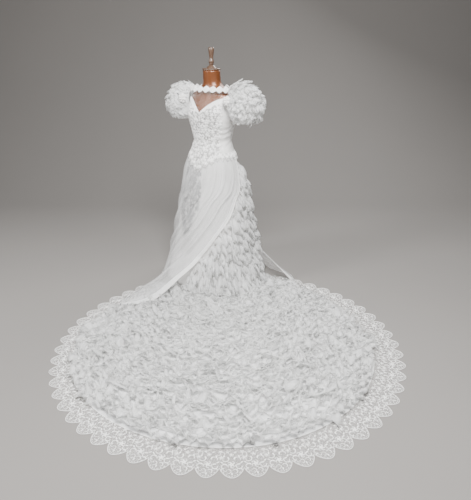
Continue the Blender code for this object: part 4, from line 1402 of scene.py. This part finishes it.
# One repeat of the train's lace, from the middle of a scallop: across, outwards, turn, size
LACE_LEAVES = (
    (0.000, 0.030, 90, 0.0080),
    (0.036, 0.003, 20, 0.0070),
    (0.027, -0.020, -15, 0.0095),
    (0.040, -0.030, -40, 0.0080),
    (0.012, -0.052, 110, 0.0085),
    (0.030, -0.062, 60, 0.0075),
    (0.016, -0.084, 150, 0.0080),
    (0.042, -0.090, 30, 0.0070),
)
LACE_SCROLLS = (
    (0.013, 0.017, 70, 0.0100),
    (0.026, 0.010, -20, 0.0070),
    (0.030, -0.008, 200, 0.0115),
    (0.024, -0.046, 20, 0.0125),
    (0.036, -0.076, 120, 0.0095),
    (0.010, -0.096, 0, 0.0070),
)
LACE_FLOWERS = ((0.0, -0.017, 0, 0.0175), (0.051, -0.056, 20, 0.0110), (0.0, -0.070, 40, 0.0100))


def lace_spots(turns, x, y, angle, size, lift=0.0022):
    """Places for a model at one place of every repeat of the train's lace."""
    origin = train_outline(turns)
    out = unit(origin - TRAIN_CENTRE)
    side = np.stack([-out[:, 1], out[:, 0]], axis=-1)
    places = on_floor(origin + x * side + y * out, lift)
    ahead = on_floor(side * math.cos(angle) + out * math.sin(angle), 0.0)
    left = on_floor(out * math.cos(angle) - side * math.sin(angle), 0.0)
    axes = np.stack([ahead, left, np.broadcast_to(UP, ahead.shape)], axis=-2)
    return places, axes * size


def mirrored(table):
    """A table of places and turns, and its mirror image across the middle."""
    rows = [(x, y, math.radians(turn), size) for x, y, turn, size in table]
    return rows + [(-x, y, math.pi - turn, size) for x, y, turn, size in rows if x > 0]


class DRESS_OT_train_lace(bpy.types.Operator):
    """Embroider the scalloped lace round the train"""

    bl_idname = "dress.train_lace"
    bl_label = "Train lace"

    def execute(self, context):
        sizes = context.scene.dress_sizes
        share, across = np.meshgrid(np.linspace(0, 1, SCALLOPS * 14 + 1), np.linspace(0, 1, 9))
        turn = train_turn(share)
        lobe = np.sin(math.pi * ((share * SCALLOPS) % 1.0)) ** 0.8
        inner = train_edge(share)
        inner = inner + unit(inner - TRAIN_CENTRE) * 2 * SEAM
        outer = train_outline(turn, -SCALLOP_DEPTH * lobe)
        plan = inner + (outer - inner) * across[..., None]
        grid = on_floor(plan, 0.0016 + 0.0007 * ripple(plan[..., 0] * 12, plan[..., 1] * 12, 61))
        nodes = train_nodes("train_lace_")
        piece = cloth("lace_edging", [grid], sizes.organza, "lace_net", "lace", nodes, outside=-UP)
        turns = train_turn((np.arange(SCALLOPS) + 0.5) / SCALLOPS)
        petals, hearts = [], []
        for x, y, angle, size in LACE_FLOWERS:
            for k in range(5):
                step = math.radians(angle) + k * 2 * math.pi / 5
                along, out = 0.55 * size * math.cos(step), 0.55 * size * math.sin(step)
                petals.append(lace_spots(turns, x + along, y + out, step - 1.9, size * 0.44))
            petals.append(lace_spots(turns, x, y, 1.0, size * 0.30, 0.0026))
            hearts.append(lace_spots(turns, x, y, 0.0, size * 0.13, 0.0036))
        leaves = [lace_spots(turns, *row) for row in mirrored(LACE_LEAVES)]
        dashes = []
        for at in np.linspace(0.08, 0.92, 9):
            here = train_turn((np.arange(SCALLOPS) + at) / SCALLOPS)
            rise = SCALLOP_DEPTH * math.sin(math.pi * at) ** 0.8 - 0.0075
            slope = 1.35 * math.cos(math.pi * at) * SCALLOP_DEPTH / 0.033
            dashes.append(lace_spots(here, 0.0, rise, math.atan(slope * 0.8), 0.0042))
        scrolls = [lace_spots(turns, *row) for row in mirrored(LACE_SCROLLS)]
        look = "lace_thread", "lace"
        flower = copies("lace_roses", scroll_model(0.20, math.radians(265)), petals, *look)
        leaf = copies("lace_leaves", ball(0.20, 0.38, 0.0, pointed=True), leaves + dashes, *look)
        curl = copies("lace_scrolls", scroll_model(0.13, math.radians(215)), scrolls, *look)
        heart = copies("lace_hearts", bead_model(), hearts, "pearl_bead", "lace")
        rim = on_floor(outer[0], 0.0016)
        seam = on_floor(inner[0], 0.0030)
        cords = piping("lace_cords", [rim, seam], sizes.cord, *look)
        cut(piece, [grid])
        return {"FINISHED"}


# The ruffles

TRAIN_ROWS = 46
TRAIN_INNER = 0.6
TRAIN_CURL = 0.30
TRAIN_UNEVEN = 0.38
TRAIN_SWAY = 0.016
ROW_GAP = 0.0185  # rows that would come closer than this end where they do


def beside(points, line, side):
    """How far points on the floor lie to one side of a line, and how high the line is there."""
    line = line[line[:, 2] < OVERSKIRT_LOW]
    span = np.diff(line, axis=0)
    way = points[:, None] - line[None, :-1, :2]
    share = np.clip((way * span[:, :2]).sum(axis=-1) / (span[:, :2] ** 2).sum(axis=-1), 0, 1)
    gaps = way - share[..., None] * span[:, :2]
    far = np.linalg.norm(gaps, axis=-1)
    k = far.argmin(axis=1)
    pick = np.arange(len(points)), k
    near, share, far = gaps[pick], share[pick], far[pick]
    turn = side * (span[k, 0] * near[:, 1] - span[k, 1] * near[:, 0])
    clear = (turn > 0) | ((k == len(span) - 1) & (share == 1))
    return np.where(clear, far, -far), line[k, 2] + share * span[k, 2]


def train_row(row):
    """A row of the train's ruffles on the floor, and its distance to the next."""
    along = np.linspace(0.0, 1.0, 501)
    seam, edge = train_seam(along), train_edge(along)
    rim = edge + unit(TRAIN_CENTRE - edge) * TRAIN_RIM
    plan = seam + (rim - seam) * (row + TRAIN_INNER) / (TRAIN_ROWS - 1 + TRAIN_INNER)
    return plan, np.linalg.norm(rim - seam, axis=1) / (TRAIN_ROWS - 1 + TRAIN_INNER)


def train_strips(row, sizes, edges):
    """Grids of the ruffles of one row of the train."""
    plan, gap = train_row(row)
    every = 1 if row % 2 else 2 if row % 4 else 4 if row % 8 else 8
    good = gap * every > ROW_GAP
    room = np.full(len(plan), 1.0)
    for line, side in edges:
        off, high = beside(plan, line, side)
        good &= (off > 0.012) | ((off > -0.11) & (high > 0.035))
        room = np.where(off > 0.03, room, np.minimum(room, (high - 0.010) / sizes.ruffle))
    strips = []
    for first, last in runs_of(good, 8):
        line, tall = plan[first : last + 1], np.clip(room[first : last + 1], 0.15, 1.0)
        waves = max(2, round(length_of(line) / sizes.ruffle_pitch))
        path = even(np.column_stack([line, tall]), waves * WAVE_STEPS + 1)
        line, tall = path[:, :2], path[:, 2]
        at = np.arange(len(line)) / WAVE_STEPS
        away = unit(line - TRAIN_FOOT)
        sway = TRAIN_SWAY * min(1.0, (TRAIN_ROWS - 1 - row) / 4)
        line = line + away * (sway * ripple(at / 1.7, 0.0, 71 + row))[:, None]
        heading = unit(np.gradient(line, axis=0))
        out = np.column_stack([heading[:, 1], -heading[:, 0]])
        out = out * np.sign((out * away).sum())
        root = on_floor(line, TRAIN_THICK + 0.0012)
        out = on_floor(out, 0.0)
        lean = sizes.ruffle_lean * (1 + 0.8 * ripple(at / 1.9, 5.0, 171 + row))
        fall = out * lean[:, None] + UP * (sizes.ruffle * tall)[:, None]
        wave = sizes.ruffle_wave * (0.4 + 0.6 * tall)
        above = np.broadcast_to(UP, root.shape)
        grid = gathered(root, fall, above, wave, TRAIN_CURL, 271 + 5 * row, TRAIN_UNEVEN, rows=4)
        grid[..., 2] = np.maximum(grid[..., 2], TRAIN_THICK + 0.001)
        strips.append(grid)
    return strips


class DRESS_OT_train_ruffles(bpy.types.Operator):
    """Gather the rows of organza ruffles that cover the train"""

    bl_idname = "dress.train_ruffles"
    bl_label = "Train ruffles"

    def execute(self, context):
        sizes = context.scene.dress_sizes
        share = np.linspace(0, 1, 60)
        edges = [(overskirt_edge(0, share)[1], 1), (overskirt_edge(1, share)[1], -1)]
        for group in range(8):
            rows = [row for row in range(TRAIN_ROWS) if row * 8 // TRAIN_ROWS == group]
            grids = [strip for row in rows for strip in train_strips(row, sizes, edges)]
            name, node = f"train_frill_{group + 1}", f"train_ruffle_{group + 1}"
            frill(name, node, grids, "organza_ruffle")
        return {"FINISHED"}


# The skirt's ruffles: heights of the top and the lowest tier, and what a tier measures
CASCADE_TIERS = np.linspace(0.80, 0.035, 18)
CASCADE_TALL = 0.066
CASCADE_OUT = 0.034
CASCADE_WAVE = 0.017
CASCADE_SAG = 0.016
CASCADE_CURL = 0.26
CASCADE_UNEVEN = 0.36


class DRESS_OT_cascade(bpy.types.Operator):
    """Gather the tiers of ruffles in the opening of the overskirt"""

    bl_idname = "dress.cascade"
    bl_label = "Skirt ruffles"

    def execute(self, context):
        sizes = context.scene.dress_sizes
        for group in range(9):
            grids = []
            for tier in (2 * group, 2 * group + 1):
                height = CASCADE_TIERS[tier]
                down = KNEE_SHARE * (BASQUE - height) / (BASQUE - KNEE_HEIGHT)
                if height < KNEE_HEIGHT:
                    down = KNEE_SHARE + (1 - KNEE_SHARE) * 0.6 * (1 - height / KNEE_HEIGHT)
                start, end = (float(edge) for edge in overskirt_edges(np.array(down)))
                coarse = np.linspace(start + 0.03, end + 2 * math.pi - 0.03, 200)
                width = length_of(skirt_point(coarse, np.full(200, height)))
                waves = max(2, round(width / sizes.cascade_pitch))
                angle = np.linspace(coarse[0], coarse[-1], waves * WAVE_STEPS + 1)
                sag = height + CASCADE_SAG * ripple(angle * 6, float(tier), 81)
                root = skirt_point(angle, sag, 0.0015)
                tall = CASCADE_TALL + 0.014 * ripple(angle * 4, float(tier), 82)
                low = np.maximum(sag - tall, 0.012)
                at = np.linspace(0, 1, len(angle))
                ends = np.minimum(1, 8 * np.minimum(at, 1 - at) + 0.3)
                out = unit(skirt_point(angle, sag, 0.01) - root)
                fall = skirt_point(angle, low, 0.0) - root + out * (CASCADE_OUT * ends)[:, None]
                wave, seed = CASCADE_WAVE * ends, 301 + 7 * tier
                grid = gathered(root, fall, out, wave, CASCADE_CURL, seed, CASCADE_UNEVEN)
                grid[..., 2] = np.maximum(grid[..., 2], TRAIN_THICK + 0.002)
                grids.append(grid)
            name, node = f"cascade_frill_{group + 1}", f"cascade_ruffle_{group + 1}"
            # The tiers are a darker copy of the ruffle organza: painted shade.
            frill(name, node, grids, "organza_tier")
        return {"FINISHED"}


# The sleeves

FRILL_TURNS = np.linspace(3, 76, 9)  # of a sleeve's tiers, in degrees from its armhole
FRILL_REACH = math.radians(118)  # of a tier, round the sleeve from the shoulder
FRILL_FALL = 10  # of a tier, in degrees down the sleeve
FRILL_CURL = 0.26
FRILL_UNEVEN = 0.45
# Tiers of a sleeve: how far they stand out and wave
SLEEVE_TIERS = {"left": (0.026, 0.0120), "right": (0.012, 0.0060)}
ROSETTE_TURN = 7.5
ROSETTE_AROUND = math.radians(83)


class DRESS_OT_sleeves(bpy.types.Operator):
    """Gather the puffed sleeves and their tiers of ruffles"""

    bl_idname = "dress.sleeves"
    bl_label = "Puffed sleeves"

    def execute(self, context):
        sizes = context.scene.dress_sizes
        for word, side in SLEEVE_SIDES.items():
            around, turn = np.meshgrid(np.arange(120) * 2 * math.pi / 120, np.linspace(0, 90, 31))
            ends = 1 - 0.6 * np.sin(math.pi * turn / 90)
            gather = np.sin(26 * around + 1.2 * ripple(around * 2, turn / 40, 91 + side)) * ends
            puff = ripple(around * 1.6, turn / 22, 93 + side) * np.sin(math.pi * turn / 90)
            grid = sleeve_point(side, turn, around, 0.0018 * gather + 0.004 * puff - 0.004)
            look = "organza_sleeve", "organza"
            piece = cloth("puff_" + word, [grid], sizes.organza, *look, ["sleeve_" + word], closed=True)
            cut(piece, [grid], closed=True)
            rims = [grid[0], grid[-1]]
            look = "duchess_satin", "white_satin"
            piping("cuff_cords_" + word, rims, CORDS["cuff"], *look, cyclic=True)
            self.tiers(word, side, sizes)
        return {"FINISHED"}

    def tiers(self, word, side, sizes):
        flare, wave = SLEEVE_TIERS[word]
        for group in range(3):
            grids = []
            for tier in range(3 * group, 3 * group + 3):
                start = FRILL_TURNS[tier]
                coarse = np.linspace(-FRILL_REACH, FRILL_REACH, 200)
                coarse = sleeve_point(side, np.full(200, start), coarse)
                waves = max(3, round(length_of(coarse) / sizes.sleeve_pitch))
                around = np.linspace(-FRILL_REACH, FRILL_REACH, waves * WAVE_STEPS + 1)
                turn = start + 3.0 * ripple(around * 3, float(tier), 95 + side)
                root = sleeve_point(side, turn, around, 0.0006)
                end = sleeve_point(side, np.minimum(turn + FRILL_FALL, 92), around)
                low = sleeve_point(side, turn + 7, around)
                out = unit(sleeve_point(side, turn + 7, around, 0.01) - low)
                near = np.minimum(1, (FRILL_REACH - abs(around)) / 0.5 + 0.2)
                if tier < 3:
                    near = near * (1 - 0.95 * bell((around - ROSETTE_AROUND) / 0.55))
                fall = end - root + out * (flare * near)[:, None]
                seed = 401 + 11 * tier + side
                grids.append(gathered(root, fall, out, wave * near, FRILL_CURL, seed, FRILL_UNEVEN))
            name, node = f"sleeve_frill_{word}_{group + 1}", f"sleeve_{word}_ruffle_{group + 1}"
            # The tiers are a darker copy of the ruffle organza: painted shade.
            frill(name, node, grids, "organza_tier")


# Petals of a rosette from outside in: their number, size, lift and tilt
ROSETTE_RINGS = ((7, 0.0190, 0.012, 0.25), (6, 0.0150, 0.019, 0.5), (4, 0.0100, 0.025, 0.8))


class DRESS_OT_rosettes(bpy.types.Operator):
    """Fold the two satin rosettes at the front of the sleeves"""

    bl_idname = "dress.rosettes"
    bl_label = "Satin rosettes"

    def execute(self, context):
        for word, side in SLEEVE_SIDES.items():
            turn, around = np.array(ROSETTE_TURN), np.array(ROSETTE_AROUND)
            base = sleeve_point(side, turn, around)
            out = unit(sleeve_point(side, turn, around, 0.01) - base)
            level = unit(np.cross(out, UP))
            rise = np.cross(level, out)
            spots = []
            for count, size, lift, tilt in ROSETTE_RINGS:
                for k in range(count):
                    angle = 2 * math.pi * (k + 0.4 * count) / count
                    away = level * math.cos(angle) + rise * math.sin(angle)
                    ahead = away * math.cos(tilt) + out * math.sin(tilt)
                    left = np.cross(out, away)
                    axes = np.array([ahead, left, np.cross(ahead, left)]) * size
                    spots.append(((base + out * lift)[None], axes[None]))
            petal = ball(0.42, 0.72, 0.85, rings=8, segments=14)
            piece = copies("satin_rosette_" + word, petal, spots, "duchess_satin", "white_satin")
            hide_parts("rosette_" + word)
        return {"FINISHED"}


# The stage


# Soft lights: place, size and watts
LIGHTS = (
    ("key_light", (-3.5, -0.9, 2.7), 1.0, 155.0),
    ("fill_light", (3.2, -2.2, 2.6), 2.6, 30.0),
    ("back_light", (1.6, 3.0, 3.4), 1.6, 110.0),
    ("train_light", (0.2, -1.7, 3.2), 1.4, 330.0),
)
LIT_POINT = (0.0, 0.0, 0.5)
# The photograph's camera: its place from the pole, how far it looks down, and its lens
CAMERA_PLACE = (0.153, -3.467, 1.535)
CAMERA_DOWN = 21.47
CAMERA_LENS = 36.64
CAMERA_SENSOR = 36.0


class DRESS_OT_stage(bpy.types.Operator):
    """Set up the pale floor, the soft lights and the camera"""

    bl_idname = "dress.stage"
    bl_label = "Floor, lights and camera"

    def execute(self, context):
        bpy.ops.object.select_all(action="DESELECT")
        bpy.ops.mesh.primitive_plane_add(size=18, location=(0, -4.5, -0.0005))
        floor = context.active_object
        floor.name = "pale_floor"
        bpy.ops.object.transform_apply(location=True)
        bpy.ops.object.mode_set(mode="EDIT")
        bpy.ops.mesh.select_all(action="DESELECT")
        bpy.ops.object.mode_set(mode="OBJECT")
        for edge in floor.data.edges:
            edge.select = all(floor.data.vertices[k].co.y > 4 for k in edge.vertices)
        bpy.ops.object.mode_set(mode="EDIT")
        bpy.ops.mesh.select_mode(type="EDGE")
        bpy.ops.mesh.extrude_region_move(TRANSFORM_OT_translate={"value": (0, 0, 7)})
        bpy.ops.object.mode_set(mode="OBJECT")
        for edge in floor.data.edges:
            ends = [floor.data.vertices[k].co for k in edge.vertices]
            edge.select = all(end.y > 4 and end.z < 1 for end in ends)
        bpy.ops.object.mode_set(mode="EDIT")
        bpy.ops.mesh.bevel(offset=2.0, segments=24, affect="EDGES")
        bpy.ops.object.mode_set(mode="OBJECT")
        floor.data.shade_smooth()
        floor.data.materials.append(finish_named("pale_floor"))
        for name, place, size, energy in LIGHTS:
            bpy.ops.object.light_add(type="AREA", location=place)
            light = context.active_object
            light.name = name
            light.data.size = size
            light.data.energy = energy
            aim = -np.array(place) + np.array(LIT_POINT)
            light.rotation_euler = Vector(aim).to_track_quat("-Z", "Y").to_euler()
        world = bpy.data.worlds.new("studio")
        world.use_nodes = True
        sky = world.node_tree.nodes["Background"].inputs
        sky["Color"].default_value = (0.95, 0.96, 1.0, 1.0)
        sky["Strength"].default_value = 0.13
        context.scene.world = world
        bpy.ops.object.camera_add(location=POLE + np.array(CAMERA_PLACE))
        camera = context.active_object
        camera.name = "photo_camera"
        camera.rotation_euler = (math.radians(90 - CAMERA_DOWN), 0.0, 0.0)
        camera.data.sensor_width = CAMERA_SENSOR
        camera.data.lens = CAMERA_LENS
        context.scene.camera = camera
        return {"FINISHED"}


PIECES = (
    DRESS_OT_form,
    DRESS_OT_bodice,
    DRESS_OT_bodice_lace,
    DRESS_OT_yoke,
    DRESS_OT_collar,
    DRESS_OT_skirt,
    DRESS_OT_basque,
    DRESS_OT_overskirt,
    DRESS_OT_train,
    DRESS_OT_train_lace,
    DRESS_OT_train_ruffles,
    DRESS_OT_cascade,
    DRESS_OT_sleeves,
    DRESS_OT_rosettes,
    DRESS_OT_stage,
)


class DRESS_PT_panel(bpy.types.Panel):
    """Lists the pieces of the dress, with their sizes and colours"""

    bl_idname = "DRESS_PT_panel"
    bl_label = "Wedding dress"
    bl_space_type = "VIEW_3D"
    bl_region_type = "UI"
    bl_category = "Dress"

    def draw(self, context):
        for group in (context.scene.dress_sizes, context.scene.dress_colours):
            box = self.layout.box()
            for name in group.bl_rna.properties.keys():
                if name not in ("rna_type", "name"):
                    box.prop(group, name)
        for piece in PIECES:
            self.layout.operator(piece.bl_idname)


CLASSES = (DressSizes, DressColours, *PIECES, DRESS_PT_panel)


def register():
    for item in CLASSES:
        bpy.utils.register_class(item)
    bpy.types.Scene.dress_sizes = PointerProperty(type=DressSizes)
    bpy.types.Scene.dress_colours = PointerProperty(type=DressColours)


def unregister():
    del bpy.types.Scene.dress_colours
    del bpy.types.Scene.dress_sizes
    for item in reversed(CLASSES):
        bpy.utils.unregister_class(item)


def main():
    register()
    for piece in PIECES:
        group, name = piece.bl_idname.split(".")
        getattr(getattr(bpy.ops, group), name)()


if __name__ == "__main__":
    main()
